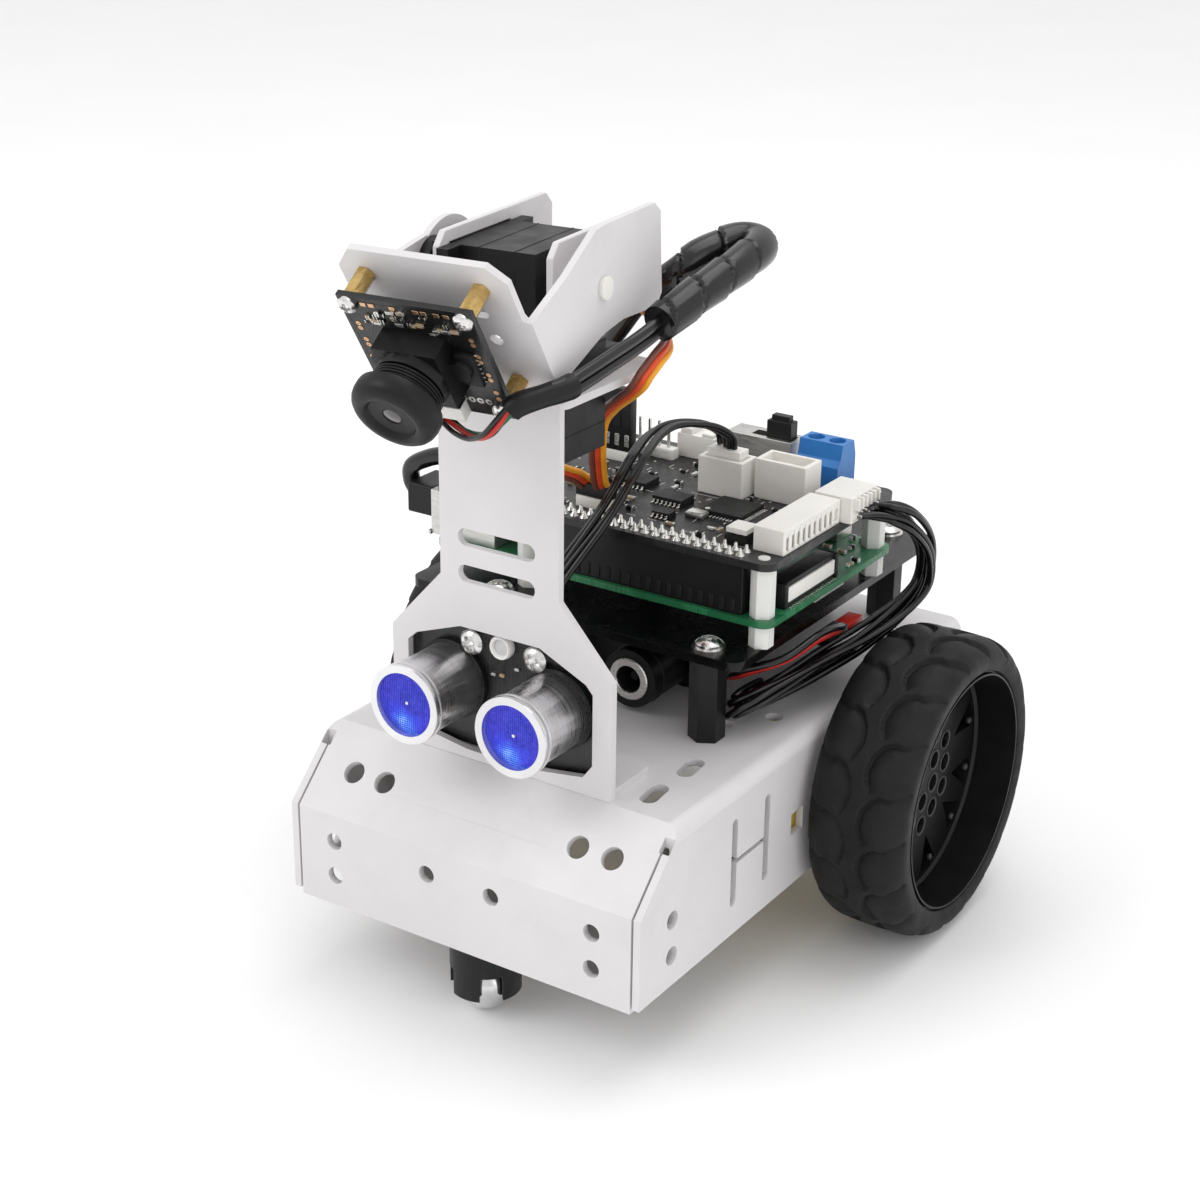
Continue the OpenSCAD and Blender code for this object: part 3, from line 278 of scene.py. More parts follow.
FINISH = {
    "white_sheet": painted_sheet(),
    "screw_steel": brushed("screw_steel", (0.6, 0.59, 0.58), (0.88, 0.87, 0.86), (0.12, 0.24), (1, 1, 1), 900),
    "black_board": circuit_board("board_black", (0.004, 0.0042, 0.0046), (0.013, 0.0135, 0.0145)),
    "green_board": circuit_board("board_green", (0.012, 0.13, 0.05), (0.035, 0.24, 0.1)),
    "carrier_black": plastic("carrier_black", (0.003, 0.003, 0.0032), (0.006, 0.006, 0.0063), (0.2, 0.32), 700, 0.012),
    "can_metal": brushed("can_metal", (0.66, 0.65, 0.66), (0.86, 0.86, 0.87), (0.2, 0.32), (0.12, 6, 0.12), 260, 0.01),
    "blue_glow": glow(),
    "white_plastic": milky("socket_white", (0.83, 0.81, 0.77), 0.8, (0.4, 0.55)),
    "black_plastic": plastic("moulded_black", (0.012, 0.012, 0.013), (0.022, 0.022, 0.023), (0.32, 0.48), 1300, 0.03),
    "ball_steel": brushed("ball_steel", (0.6, 0.6, 0.6), (0.78, 0.78, 0.78), (0.08, 0.16), (1, 1, 1), 300),
    "yellow_plastic": plastic("gear_yellow", (0.62, 0.42, 0.04), (0.72, 0.52, 0.07), (0.35, 0.5), 900, 0.03),
    "shell_metal": brushed("shell_metal", (0.48, 0.475, 0.46), (0.68, 0.67, 0.65), (0.24, 0.36), (1, 1, 8), 300),
    "ivory_plastic": plastic("shaft_ivory", (0.66, 0.63, 0.53), (0.76, 0.73, 0.63), (0.35, 0.5)),
    "rim_plastic": plastic("rim_black", (0.0085, 0.009, 0.0095), (0.017, 0.0175, 0.018), (0.36, 0.5), 1500, 0.03),
    # a lighter copy of the rim's black plastic, used on the hub's raised collars and studs
    "rim_raised_lighter": plastic("rim_raised_lighter", (0.035, 0.036, 0.038), (0.06, 0.062, 0.064), (0.34, 0.48), 1200, 0.03),
    "tyre_rubber": rubber(),
    "white_nylon": milky("nylon_white", (0.82, 0.82, 0.79), 2.4),
    "chip_black": plastic("chip_black", (0.016, 0.016, 0.017), (0.028, 0.028, 0.03), (0.42, 0.6), 1800, 0.03),
    "pin_metal": brushed("pin_metal", (0.62, 0.61, 0.58), (0.84, 0.83, 0.8), (0.16, 0.3), (1, 1, 4), 700),
    "blue_plastic": plastic("terminal_blue", (0.012, 0.13, 0.42), (0.02, 0.2, 0.56), (0.32, 0.46), 1000, 0.03),
    "wrap_black": plastic("battery_wrap", (0.007, 0.007, 0.008), (0.013, 0.013, 0.014), (0.16, 0.3), 400, 0.03),
    "servo_black": plastic("servo_black", (0.011, 0.011, 0.012), (0.02, 0.02, 0.021), (0.36, 0.5), 1500, 0.035),
    "brass_pillar": brushed("brass", (0.5, 0.32, 0.1), (0.78, 0.56, 0.24), (0.14, 0.26), (1, 1, 1), 420),
    "copper_pad": brushed("pad_gold", (0.62, 0.36, 0.2), (0.78, 0.52, 0.32), (0.25, 0.4), (1, 1, 1), 900),
    "lens_black": plastic("lens_black", (0.007, 0.007, 0.0075), (0.013, 0.013, 0.014), (0.38, 0.52), 1600, 0.025),
    "lens_glass": lens_glass(),
    "lead_black": plastic("lead_black", (0.006, 0.006, 0.007), (0.012, 0.012, 0.013), (0.16, 0.28), 900, 0.02,
                          Specular_IOR_Level=0.5),
    "sleeve_black": plastic("sleeve_black", (0.009, 0.009, 0.01), (0.016, 0.016, 0.017), (0.34, 0.46), 500, 0.04),
    "wrap_spiral": plastic("spiral_wrap", (0.01, 0.01, 0.011), (0.02, 0.02, 0.021), (0.14, 0.26), 600, 0.03,
                           Specular_IOR_Level=0.5),
    "lead_red": plastic("lead_red", (0.42, 0.012, 0.008), (0.58, 0.025, 0.015), (0.3, 0.44), 900, 0.02),
    "lead_scarlet": plastic("lead_scarlet", (0.6, 0.045, 0.01), (0.74, 0.08, 0.02), (0.32, 0.46), 900, 0.02),
    "lead_amber": plastic("lead_amber", (0.78, 0.3, 0.012), (0.88, 0.4, 0.03), (0.32, 0.46), 900, 0.02),
    "lead_brown": plastic("lead_brown", (0.13, 0.035, 0.022), (0.2, 0.06, 0.04), (0.34, 0.48), 900, 0.02),
    "lead_green": plastic("lead_green", (0.006, 0.09, 0.04), (0.012, 0.14, 0.06), (0.32, 0.46), 900, 0.02),
    "lead_white": plastic("lead_white", (0.7, 0.69, 0.67), (0.8, 0.79, 0.77), (0.35, 0.5), 900, 0.02),
    "print_white": plastic("print_white", (0.5, 0.5, 0.5), (0.68, 0.68, 0.67), (0.5, 0.65), 2600, 0.02, 900),
    "lamp_white": milky("lamp_white", (0.86, 0.85, 0.83), 1.0),
    "tan_part": plastic("capacitor_tan", (0.32, 0.22, 0.13), (0.42, 0.3, 0.18), (0.4, 0.55), 1400, 0.02),
}


# ---------------------------------------------------------------- shapes
def smooth_line(points, steps=6):
    """A curve through the points (Catmull-Rom), as a list of vectors."""
    p = [Vector(q) for q in points]
    line = []
    for i in range(len(p) - 1):
        a, b, c, d = p[max(i - 1, 0)], p[i], p[i + 1], p[min(i + 2, len(p) - 1)]
        for s in range(steps):
            t = s / steps
            bend = (2 * a - 5 * b + 4 * c - d) * t * t + (3 * b - a - 3 * c + d) * t ** 3
            line.append(0.5 * (2 * b + (c - a) * t + bend))
    return line + [p[-1]]


def carried_frames(line):
    """(tangent, side, up) at each point of a line, turned as little as possible along it."""
    tangents = [(line[min(i + 1, len(line) - 1)] - line[max(i - 1, 0)]).normalized() for i in range(len(line))]
    side = tangents[0].cross(Vector((0, 0, 1)))
    if side.length < 0.2:
        side = tangents[0].cross(Vector((0, 1, 0)))
    side.normalize()
    frames = []
    for t in tangents:
        side = (side - t * side.dot(t)).normalized()
        frames.append((t, side, t.cross(side)))
    return frames


def link(name, data):
    """A new object in the scene."""
    obj = bpy.data.objects.new(name, data)
    bpy.context.scene.collection.objects.link(obj)
    return obj


class Shape:
    """Gathers solids in one mesh, in millimetres in a chosen frame, and makes a piece of them."""

    def __init__(self, place=ROW):
        self.bm = bmesh.new()
        self.place = place

    def absorb(self, part, material, bevel=0.0, segments=2):
        if bevel > 0:
            sharp = [e for e in part.edges if len(e.link_faces) == 2 and e.calc_face_angle(0) > BEVEL_FROM]
            bmesh.ops.bevel(part, geom=sharp, offset=bevel, segments=segments, profile=0.6,
                            affect="EDGES", clamp_overlap=True)
        for f in part.faces:
            f.material_index = material
        mesh = bpy.data.meshes.new("part")
        part.to_mesh(mesh)
        part.free()
        self.bm.from_mesh(mesh)
        bpy.data.meshes.remove(mesh)
        return self

    def box(self, x0, x1, y0, y1, z0, z1, material=0, bevel=0.0, segments=2):
        part = bmesh.new()
        bmesh.ops.create_cube(part, size=1)
        size = Matrix.Diagonal((x1 - x0, y1 - y0, z1 - z0, 1))
        where = Matrix.Translation(((x0 + x1) / 2, (y0 + y1) / 2, (z0 + z1) / 2))
        part.transform(where @ size)
        return self.absorb(part, material, bevel, segments)

    def lathe(self, profile, origin, axis, material=0, sides=48):
        """profile is [(radius, height)] round the axis from the origin, ending at radius 0 or joined to its start."""
        axis = Vector(axis).normalized()
        turn = Vector((0, 0, 1)).rotation_difference(axis).to_matrix().to_4x4()
        part = bmesh.new()
        rings = []
        for r, h in profile:
            turns = [2 * math.pi * k / sides for k in range(sides if r > 0 else 1)]
            rings.append([part.verts.new((r * math.cos(t), r * math.sin(t), h)) for t in turns])
        pairs = list(zip(rings, rings[1:]))
        if len(rings[0]) > 1 and len(rings[-1]) > 1:
            pairs.append((rings[-1], rings[0]))
        for a, b in pairs:
            for k in range(sides):
                n = (k + 1) % sides
                if len(a) == 1 and len(b) == 1:
                    break
                if len(a) == 1:
                    part.faces.new((a[0], b[n], b[k]))
                elif len(b) == 1:
                    part.faces.new((a[k], a[n], b[0]))
                else:
                    part.faces.new((a[k], a[n], b[n], b[k]))
        bmesh.ops.recalc_face_normals(part, faces=part.faces)
        part.transform(Matrix.Translation(origin) @ turn)
        return self.absorb(part, material)

    def rod(self, a, b, r, material=0, sides=24):
        a, b = Vector(a), Vector(b)
        length = (b - a).length
        return self.lathe([(0, 0), (r, 0), (r, length), (0, length)], a, b - a, material, sides)

    def prism(self, outline, origin, right, up, depth, material=0, bevel=0.0, segments=2):
        """The flat outline, in the plane of right and up, thickened by depth."""
        right, up = Vector(right), Vector(up)
        part = bmesh.new()
        verts = [part.verts.new(Vector(origin) + right * x + up * y) for x, y in outline]
        face = part.faces.new(verts)
        grown = bmesh.ops.extrude_face_region(part, geom=[face])
        moved = [v for v in grown["geom"] if isinstance(v, bmesh.types.BMVert)]
        bmesh.ops.translate(part, verts=moved, vec=Vector(depth))
        bmesh.ops.recalc_face_normals(part, faces=part.faces)
        return self.absorb(part, material, bevel, segments)

    def sweep(self, line, r, material=0, sides=12):
        """A tube along a line. r is a number, or a function of the point's and the side's index."""
        part = bmesh.new()
        rings = []
        for i, (_, side, up) in enumerate(carried_frames(line)):
            ring = []
            for k in range(sides):
                turn = 2 * math.pi * k / sides
                radius = r(i, k) if callable(r) else r
                ring.append(part.verts.new(line[i] + side * radius * math.cos(turn) + up * radius * math.sin(turn)))
            rings.append(ring)
        for a, b in zip(rings, rings[1:]):
            for k in range(sides):
                n = (k + 1) % sides
                part.faces.new((a[k], a[n], b[n], b[k]))
        part.faces.new(rings[0][::-1])
        part.faces.new(rings[-1])
        bmesh.ops.recalc_face_normals(part, faces=part.faces)
        return self.absorb(part, material)

    def screw(self, centre, out, r, h, material=0, turn=0.0):
        """A domed pan head with a cross pressed into it, its base at centre, pointing along out."""
        outer = [0.155, 0.2, 0.36, 0.52, 0.56, 0.66, 0.8, 0.92, 1]
        lines = [-v for v in reversed(outer)] + [0] + outer
        arm, reach = 0.156, 0.521
        part = bmesh.new()
        grid = []
        for v in lines:
            row = []
            for u in lines:
                x, y = u * math.sqrt(1 - v * v / 2), v * math.sqrt(1 - u * u / 2)
                rho = min(math.hypot(x, y), 1)
                z = h * (0.42 + 0.58 * (1 - rho ** 2.8))
                if min(abs(u), abs(v)) <= arm and max(abs(u), abs(v)) <= reach:
                    z = h * (0.42 + 0.25 * rho)
                row.append(part.verts.new((x * r, y * r, z)))
            grid.append(row)
        n = len(lines)
        for i in range(n - 1):
            for j in range(n - 1):
                part.faces.new((grid[i][j], grid[i][j + 1], grid[i + 1][j + 1], grid[i + 1][j]))
        edge = [grid[0][j] for j in range(n)] + [grid[i][-1] for i in range(1, n)]
        edge += [grid[-1][j] for j in range(n - 2, -1, -1)] + [grid[i][0] for i in range(n - 2, 0, -1)]
        low = [part.verts.new((v.co.x, v.co.y, 0)) for v in edge]
        for k in range(len(edge)):
            m = (k + 1) % len(edge)
            part.faces.new((edge[k], low[k], low[m], edge[m]))
        part.faces.new(low)
        bmesh.ops.recalc_face_normals(part, faces=part.faces)
        tilt = Vector((0, 0, 1)).rotation_difference(Vector(out).normalized()).to_matrix().to_4x4()
        part.transform(Matrix.Translation(centre) @ tilt @ Matrix.Rotation(turn, 4, "Z"))
        return self.absorb(part, material)

    def done(self, name, body, materials, replaces=(), sharp=38, blend=None, where=None):
        """Makes the piece. With where, the shape was drawn round its own origin, which goes there."""
        scale = Matrix.Diagonal((MM, MM, MM, 1))
        self.bm.transform(scale @ self.place)
        mesh = bpy.data.meshes.new(name)
        self.bm.to_mesh(mesh)
        self.bm.free()
        for key in materials:
            mesh.materials.append(FINISH[key])
        mesh.polygons.foreach_set("use_smooth", [True] * len(mesh.polygons))
        mesh.set_sharp_from_angle(angle=math.radians(sharp))
        piece = link(name, mesh)
        if where:
            piece.location = where
        if blend:
            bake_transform(piece)
        else:
            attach(piece, body)
        if replaces:
            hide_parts(*replaces)
        return piece


def dress(node, material, bevel):
    """A material, and softened edges, on a CAD node."""
    obj = nodes[node]
    obj.data.materials.clear()
    obj.data.materials.append(FINISH[material])
    if bevel > 0:
        weld = obj.modifiers.new("weld", "WELD")
        weld.merge_threshold = 0.000004
        soft = obj.modifiers.new("bevel", "BEVEL")
        soft.width = bevel * MM
        soft.segments = 2
        soft.limit_method = "ANGLE"
        soft.angle_limit = math.radians(35)
        soft.harden_normals = True
        soft.miter_outer = "MITER_ARC"


# ---------------------------------------------------------------- CAD nodes that stay
# (finish, bevel): the nodes that get them
DRESSED = {
    ("white_sheet", 0.35): "chassis_shell mast_bracket head_yoke camera_bracket",
    ("black_board", 0.1): "sensor_board controller_board camera_board_plate",
    ("can_metal", 0.18): "sensor_cans",
    ("black_plastic", 0.25): "caster_housing",
    ("ball_steel", 0): "caster_ball",
    ("yellow_plastic", 0.4): "motor_gearbox_left motor_gearbox_right",
    ("shell_metal", 0.3): "motor_can_left motor_can_right sensor_parts",
    ("screw_steel", 0.1): "motor_screws",
    ("ivory_plastic", 0.2): "wheel_shaft_left wheel_shaft_right",
    ("rim_plastic", 0.22): "wheel_rim_left wheel_rim_right",
    ("carrier_black", 0.2): "carrier_plate",
    ("black_plastic", 0.2): "plate_pillars pin_socket switch_knob tilt_servo_horn",
    ("white_nylon", 0.25): "board_pillars",
    ("green_board", 0.1): "computer_board",
    ("shell_metal", 0.2): "usb_ports switch_case",
    ("white_plastic", 0.2): "sensor_sockets turn_servo_horn",
    ("white_plastic", 0.25): "motor_socket tilt_pivot",
    ("black_plastic", 0.15): "push_button_base",
    ("white_plastic", 0.3): "push_button_cap",
    ("blue_plastic", 0.25): "power_terminal",
    ("pin_metal", 0.12): "terminal_screws",
    ("wrap_black", 0.4): "battery_pack",
    ("servo_black", 0.3): "turn_servo tilt_servo",
    ("brass_pillar", 0.15): "camera_pillars",
    ("lens_black", 0.2): "lens_holder",
    ("shell_metal", 0.15): "computer_parts",
    ("pin_metal", 0): "controller_headers",
    ("sleeve_black", 0.6): "lead_plug",
    ("chip_black", 0.15): "controller_chips",
    ("screw_steel", 0): "fixing_screws plate_screws sensor_screws camera_screws",
    ("black_plastic", 0.3): "battery_socket",
    ("blue_glow", 0): "sensor_lights",
}
for (finish, bevel), names in DRESSED.items():
    for node in names.split():
        dress(node, finish, bevel)


# ---------------------------------------------------------------- wheels
TREAD_PITCH = 2 * math.pi * WHEEL_R / 18
GROOVE_DEPTH, GROOVE_HALF = 1.25, 0.5
LEE_DEPTH, LEE_REACH = 0.95, 3.4


def tread_depth(u, v, half):
    """How deep the tread is cut, in millimetres, u along the tyre and v out from its middle."""
    outline = [
        (-2.2, half + 1.0), (0.2, half - 1.6), (1.7, half - 3.6), (1.5, half - 5.6),
        (2.6, half - 7.6), (5.2, half - 9.3), (8.4, half - 9.9), (11.0, half - 9.2),
    ]
    u = u % TREAD_PITCH
    best = np.full(u.shape, 99.0)
    slope = np.zeros(u.shape)
    for shift in (-2, -1, 0, 1, 2):
        for (ax, ay), (bx, by) in zip(outline[:-1], outline[1:]):
            ax2, bx2 = ax + shift * TREAD_PITCH, bx + shift * TREAD_PITCH
            dx, dy = bx2 - ax2, by - ay
            t = np.clip(((u - ax2) * dx + (v - ay) * dy) / (dx * dx + dy * dy), 0, 1)
            px, py = u - (ax2 + t * dx), v - (ay + t * dy)
            d = np.hypot(px, py)
            nearer = d < best
            best = np.where(nearer, d, best)
            slope = np.where(nearer, (dx * (v - ay) - dy * (u - ax2)) / math.hypot(dx, dy), slope)
    groove = GROOVE_DEPTH * np.clip(1 - best / GROOVE_HALF, 0, 1) ** 0.6
    lee = LEE_DEPTH * np.clip(1 - np.abs(slope) / LEE_REACH, 0, 1) * (slope > 0)
    lee = lee * np.clip(1 - (best - 0.2) / LEE_REACH, 0, 1)
    fade = np.clip((v + 0.6) / 1.2, 0, 1) * np.clip((half + 0.2 - v) / 0.8, 0, 1)
    return np.maximum(groove, lee) * fade


def tyre(side):
    """A tyre with a rounded shoulder, cut with a wavy tread that is half a pitch apart on its two halves."""
    sign = 1 if side == "right" else -1
    outside = [
        (28.3, 0.25), (29.2, 0.0), (30.4, 0.12), (31.3, 0.55), (32.0, 1.15), (32.6, 1.9),
        (33.05, 2.8), (33.35, 3.8), (33.55, 4.9),
    ]
    across = [4.9 + (TYRE_W - 9.8) * k / 40 for k in range(1, 40)]
    crown = [(33.7 - 0.15 * abs((a - TYRE_W / 2) / (TYRE_W / 2 - 4.9)) ** 2, a) for a in across]
    back = [(r, TYRE_W - a) for r, a in reversed(outside)]
    inner = [(27.1, TYRE_W - 0.3), (26.8, TYRE_W - 0.7), (26.8, TYRE_W - 1.3), (28.05, TYRE_W - 1.35), (28.05, 0.4)]
    profile = np.array(outside + crown + back + inner)
    rounds = 630
    angle = np.linspace(0, 2 * math.pi, rounds, endpoint=False)
    r, a = profile[:, 0][None, :], profile[:, 1][None, :]
    v = (a - TYRE_W / 2) * np.ones((rounds, 1))
    u = angle[:, None] * WHEEL_R * np.ones_like(v)
    half = TYRE_W / 2
    cut = np.where(v > 0, tread_depth(u, v, half), tread_depth(u + TREAD_PITCH / 2, -v, half))
    on_tread = np.zeros(profile.shape[0])
    on_tread[1:len(outside) + len(crown) + len(back) - 1] = 1
    shoulder = np.clip((profile[:, 0] - 29.6) / 1.6, 0, 1) * on_tread
    radius = r - cut * shoulder[None, :]
    x = sign * (TRACK / 2 - TYRE_W + a) * np.ones_like(radius)
    y = radius * np.cos(angle)[:, None]
    z = radius * np.sin(angle)[:, None] + AXLE_Z
    count = profile.shape[0]
    points = np.stack([x, y + AXLE_Y, z], -1).reshape(-1, 3) * MM
    k, j = np.meshgrid(np.arange(rounds), np.arange(count), indexing="ij")
    k2, j2 = (k + 1) % rounds, (j + 1) % count
    quad = np.stack([k * count + j, k * count + j2, k2 * count + j2, k2 * count + j], -1).reshape(-1, 4)
    if sign > 0:
        quad = quad[:, ::-1]
    mesh = bpy.data.meshes.new("tyre_" + side)
    mesh.from_pydata(points.tolist(), [], quad.tolist())
    mesh.materials.append(FINISH["tyre_rubber"])
    mesh.polygons.foreach_set("use_smooth", [True] * len(mesh.polygons))
    piece = link("tyre_" + side, mesh)
    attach(piece, "wheel_" + side)
    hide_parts("wheel_tyre_" + side)


def hub_details(side):
    """Raised collars round the hub's holes, a cap in the middle, a ring of studs, and a lip in the rim's barrel."""
    sign = 1 if side == "right" else -1
    s = Shape()
    face = 57.0
    spots = [(reach, first + 60 * k) for reach, first in ((5.6, 0), (10.4, 30), (11.4, 0)) for k in range(6)]
    for reach, turn in spots:
        c, d = math.cos(math.radians(turn)), math.sin(math.radians(turn))
        ring = [(1.95, -0.4), (1.95, 0.16), (2.08, 0.26), (2.24, 0.26), (2.36, 0.14), (2.4, -0.4)]
        s.lathe(ring, (sign * face, reach * d, AXLE_Z - reach * c), (sign, 0, 0), 1, 28)
    middle = (sign * face, 0, AXLE_Z)
    s.lathe([(0, -2.2), (2.6, -2.2), (2.6, -1.4), (1.1, -1.2), (0, -1.2)], middle, (sign, 0, 0), 0, 32)
    lip = [(25.2, 0.0), (26.3, 0.4), (26.3, 10.2), (25.9, 10.2), (25.9, 1.0), (25.2, 0.4)]
    s.lathe(lip, middle, (sign, 0, 0), 0, 128)
    for k in range(12):
        turn = math.radians(30 * k + 15)
        c, d = math.cos(turn), math.sin(turn)
        stud = [(0, 0), (0.75, 0), (0.75, 0.5), (0.5, 0.7), (0, 0.7)]
        s.lathe(stud, (sign * face, 22.6 * d, AXLE_Z - 22.6 * c), (sign, 0, 0), 1, 16)
    # the raised collars and studs take the lighter copy of the rim's plastic
    s.done("hub_collars_" + side, "wheel_" + side, ["rim_plastic", "rim_raised_lighter"])


for side in ("right", "left"):
    tyre(side)
    hub_details(side)


# ---------------------------------------------------------------- screws with pressed crosses
def screws():
    """The screws of the panels, the pillars, the sensor and the camera board."""
    s = Shape()
    for x in (-33.5, 33.5):
        s.screw((x, 28, 52.6), (0, 0, 1), 2.7, 1.8, 0, 0.5)
    for x in (-16, 16):
        s.screw((x, -68, 54.2), (0, 0, 1), 2.7, 1.8, 0, 0.2)
    for x in (-12, 12):
        s.screw((x, -84.2, 15.6), (0, 0, -1), 2.6, 1.7)
    s.done("panel_screws", "chassis", ["screw_steel"], ["fixing_screws"])
    s = Shape()
    for x in (-26.5, 26.5):
        for y in (-42.5, 38):
            s.lathe([(1.6, 0), (3.5, 0), (3.5, 0.45), (1.6, 0.45)], (x, y, 72.8), (0, 0, 1), 0, 36)
            s.screw((x, y, 73.2), (0, 0, 1), 2.95, 1.9, 0, 0.7 + x + y)
            s.screw((x, y, 51.0), (0, 0, -1), 2.9, 2.0)
    s.done("pillar_screws", "chassis", ["screw_steel"], ["plate_screws"])
    s = Shape()
    for x in (-7.7, 7.7):
        s.lathe([(1.4, 0), (2.75, 0), (2.75, 0.5), (1.4, 0.5)], (x, -76.42, 78), (0, -1, 0), 0, 36)
        s.screw((x, -76.9, 78), (0, -1, 0), 2.75, 2.0, 0, 0.35)
    s.done("sensor_fixings", "chassis", ["screw_steel"], ["sensor_screws"])
    s = Shape(EYE)
    for x in (-11.8, 11.8):
        for z in (-11.8, 11.8):
            s.screw((x, 0, z), (0, -1, 0), 1.9, 1.35, 0, 0.4 * x)
            s.screw((x, 8.7, z), (0, 1, 0), 1.9, 1.3)
    s.done("camera_fixings", "head_tilt", ["screw_steel"], ["camera_screws"])


screws()


# ---------------------------------------------------------------- distance sensor
def sensor():
    """The two lit eyes behind their meshes, the cans' rings, the status lamp, the crystal and the header."""
    for name, x in (("left", -12.9), ("right", 12.9)):
        s = Shape(Matrix.Identity(4))
        s.lathe([(0, 0), (6.62, 0), (6.62, 0.2), (6.1, 0.5), (0, 1.0)], (0, 1.0, 0), (0, 1, 0), 0, 64)
        cone = [(0, -1.7), (1.2, -1.7), (2.7, -1.1), (3.4, -0.2), (3.4, 0.2), (0, 0.2)]
        s.lathe(cone, (0, 1.2, 0), (0, 1, 0), 1, 40)
        s.rod((0, -1.1, 0), (0, -0.4, 0), 0.35, 2, 12)
        pitch = 0.46
        for k in range(-14, 15):
            reach = math.sqrt(max(6.6 ** 2 - (k * pitch) ** 2, 0.1))
            s.box(k * pitch - 0.06, k * pitch + 0.06, -0.98, -0.86, -reach, reach, 3)
            s.box(-reach, reach, -0.9, -0.78, k * pitch - 0.06, k * pitch + 0.06, 3)
        s.done("sensor_eye_" + name, "chassis", ["blue_glow", "glow_cone", "pin_metal", "glow_mesh"],
               ["sensor_lights"] if name == "left" else (), where=at(x, -91.0, 68.7))
    s = Shape()
    for x in (-12.9, 12.9):
        s.lathe([(7.7, 0), (8.5, 0), (8.5, 1.4), (7.7, 1.4)], (x, -76.4, 68.7), (0, -1, 0), 0, 56)
        rim = [(7.75, 14.6), (8.3, 14.7), (8.3, 15.2), (7.8, 15.4), (7.75, 15.0)]
        s.lathe(rim, (x, -76.4, 68.7), (0, -1, 0), 1, 56)
    s.done("can_rings", "chassis", ["black_plastic", "can_metal"])
    s = Shape()
    lamp_at = (-0.4, -76.4, 78.6)
    s.lathe([(1.7, 0), (2.5, 0), (2.55, 1.5), (2.3, 1.9), (1.9, 1.75), (1.7, 1.3)], lamp_at, (0, -1, 0), 0, 40)
    s.lathe([(0, 1.35), (0.8, 1.3), (1.72, 1.1), (1.72, 0), (0, 0)], lamp_at, (0, -1, 0), 1, 32)
    ends = [(math.cos(t) * 2, math.sin(t) * 2) for t in [math.pi / 2 + math.pi * k / 12 for k in range(13)]]
    outline = [(x - 3.7, y + 60.2) for x, y in ends] + [(2.5 - x, 60.2 - y) for x, y in ends]
    s.prism(outline, (0, -76.4, 0), (1, 0, 0), (0, 0, 1), (0, -3.4, 0), 2, 0.45, 3)
    grown = [(x * 1.09 + 0.05, (y - 60.2) * 1.18 + 60.2) for x, y in outline]
    s.prism(grown, (0, -76.4, 0), (1, 0, 0), (0, 0, 1), (0, -0.6, 0), 2, 0.15, 1)
    s.box(-7, 7, -74.8, -70.2, 70.6, 76.2, 3, 0.3)
    for k in range(4):
        s.rod((-3.8 + 2.5 * k, -70.3, 73.4), (-3.8 + 2.5 * k, -69.6, 73.4), 0.9, 4, 10)
    spread = random.Random(7)
    for k in range(16):
        x, z = spread.uniform(-9, 9), spread.uniform(56.5, 75)
        if abs(x) < 4.6:
            s.box(x, x + 1.1, -77.0, -76.4, z, z + 0.6, 2 if k % 3 else 5, 0.05, 1)
    s.done("sensor_lamp", "chassis",
           ["lamp_white", "lens_grey", "shell_metal", "white_plastic", "lead_black", "tan_part"],
           ["sensor_parts"])


def glow_extras():
    """The finishes that only the sensor has: its glowing cones and meshes, and its lamp's lens."""
    p = Paint("glow_cone")
    p.set(Base_Color=p.ramp(p.noise(500, 2), [(0.3, (0.004, 0.004, 0.05)), (0.7, (0.012, 0.01, 0.12))]), Roughness=0.4)
    light = p.ramp(p.noise(320, 2), [(0.3, (0.03, 0.02, 0.3)), (0.7, (0.05, 0.05, 0.6))])
    p.set(Emission_Color=light, Emission_Strength=0.5)
    FINISH["glow_cone"] = p.mat
    p = Paint("glow_mesh")
    p.set(Base_Color=p.ramp(p.noise(900, 2), [(0.3, (0.05, 0.06, 0.5)), (0.7, (0.12, 0.14, 0.8))]), Metallic=0.7)
    p.set(Roughness=p.spread(p.noise(500, 2), 0.3, 0.5), Emission_Color=(0.04, 0.05, 0.6), Emission_Strength=0.22)
    FINISH["glow_mesh"] = p.mat
    FINISH["lens_grey"] = milky("lamp_lens", (0.62, 0.62, 0.63), 0.8, (0.15, 0.25))


glow_extras()
sensor()


# ---------------------------------------------------------------- leads
WIRE_PITCH, WIRE_R = 1.22, 0.66
TURN = 6.3  # about one turn, in radians


def strand_lines(line, offsets, wobble, seed):
    """Lines that run beside a line at the given (side, up) offsets, each wandering a little."""
    frames = carried_frames(line)
    drift = random.Random(seed)
    out = []
    for a, b in offsets:
        phase, rate = drift.uniform(0, TURN), drift.uniform(1.5, 3.0)
        path = []
        for i, (_, side, up) in enumerate(frames):
            w = i / (len(line) - 1)
            push = wobble * math.sin(phase + rate * TURN * w)
            path.append(line[i] + side * (a + push) + up * (b - push * 0.6))
        out.append(path)
    return out


def ribbon(name, route, colours, body, blend=None, replaces=()):
    """Three servo wires side by side."""
    line = smooth_line(route, 8)
    frames = carried_frames(line)
    s = Shape()
    for k in range(len(colours)):
        s.sweep([p + side * (k - 1) * WIRE_PITCH for p, (_, side, _) in zip(line, frames)], WIRE_R, k, 12)
    s.done(name, body, colours, replaces, 60, blend)


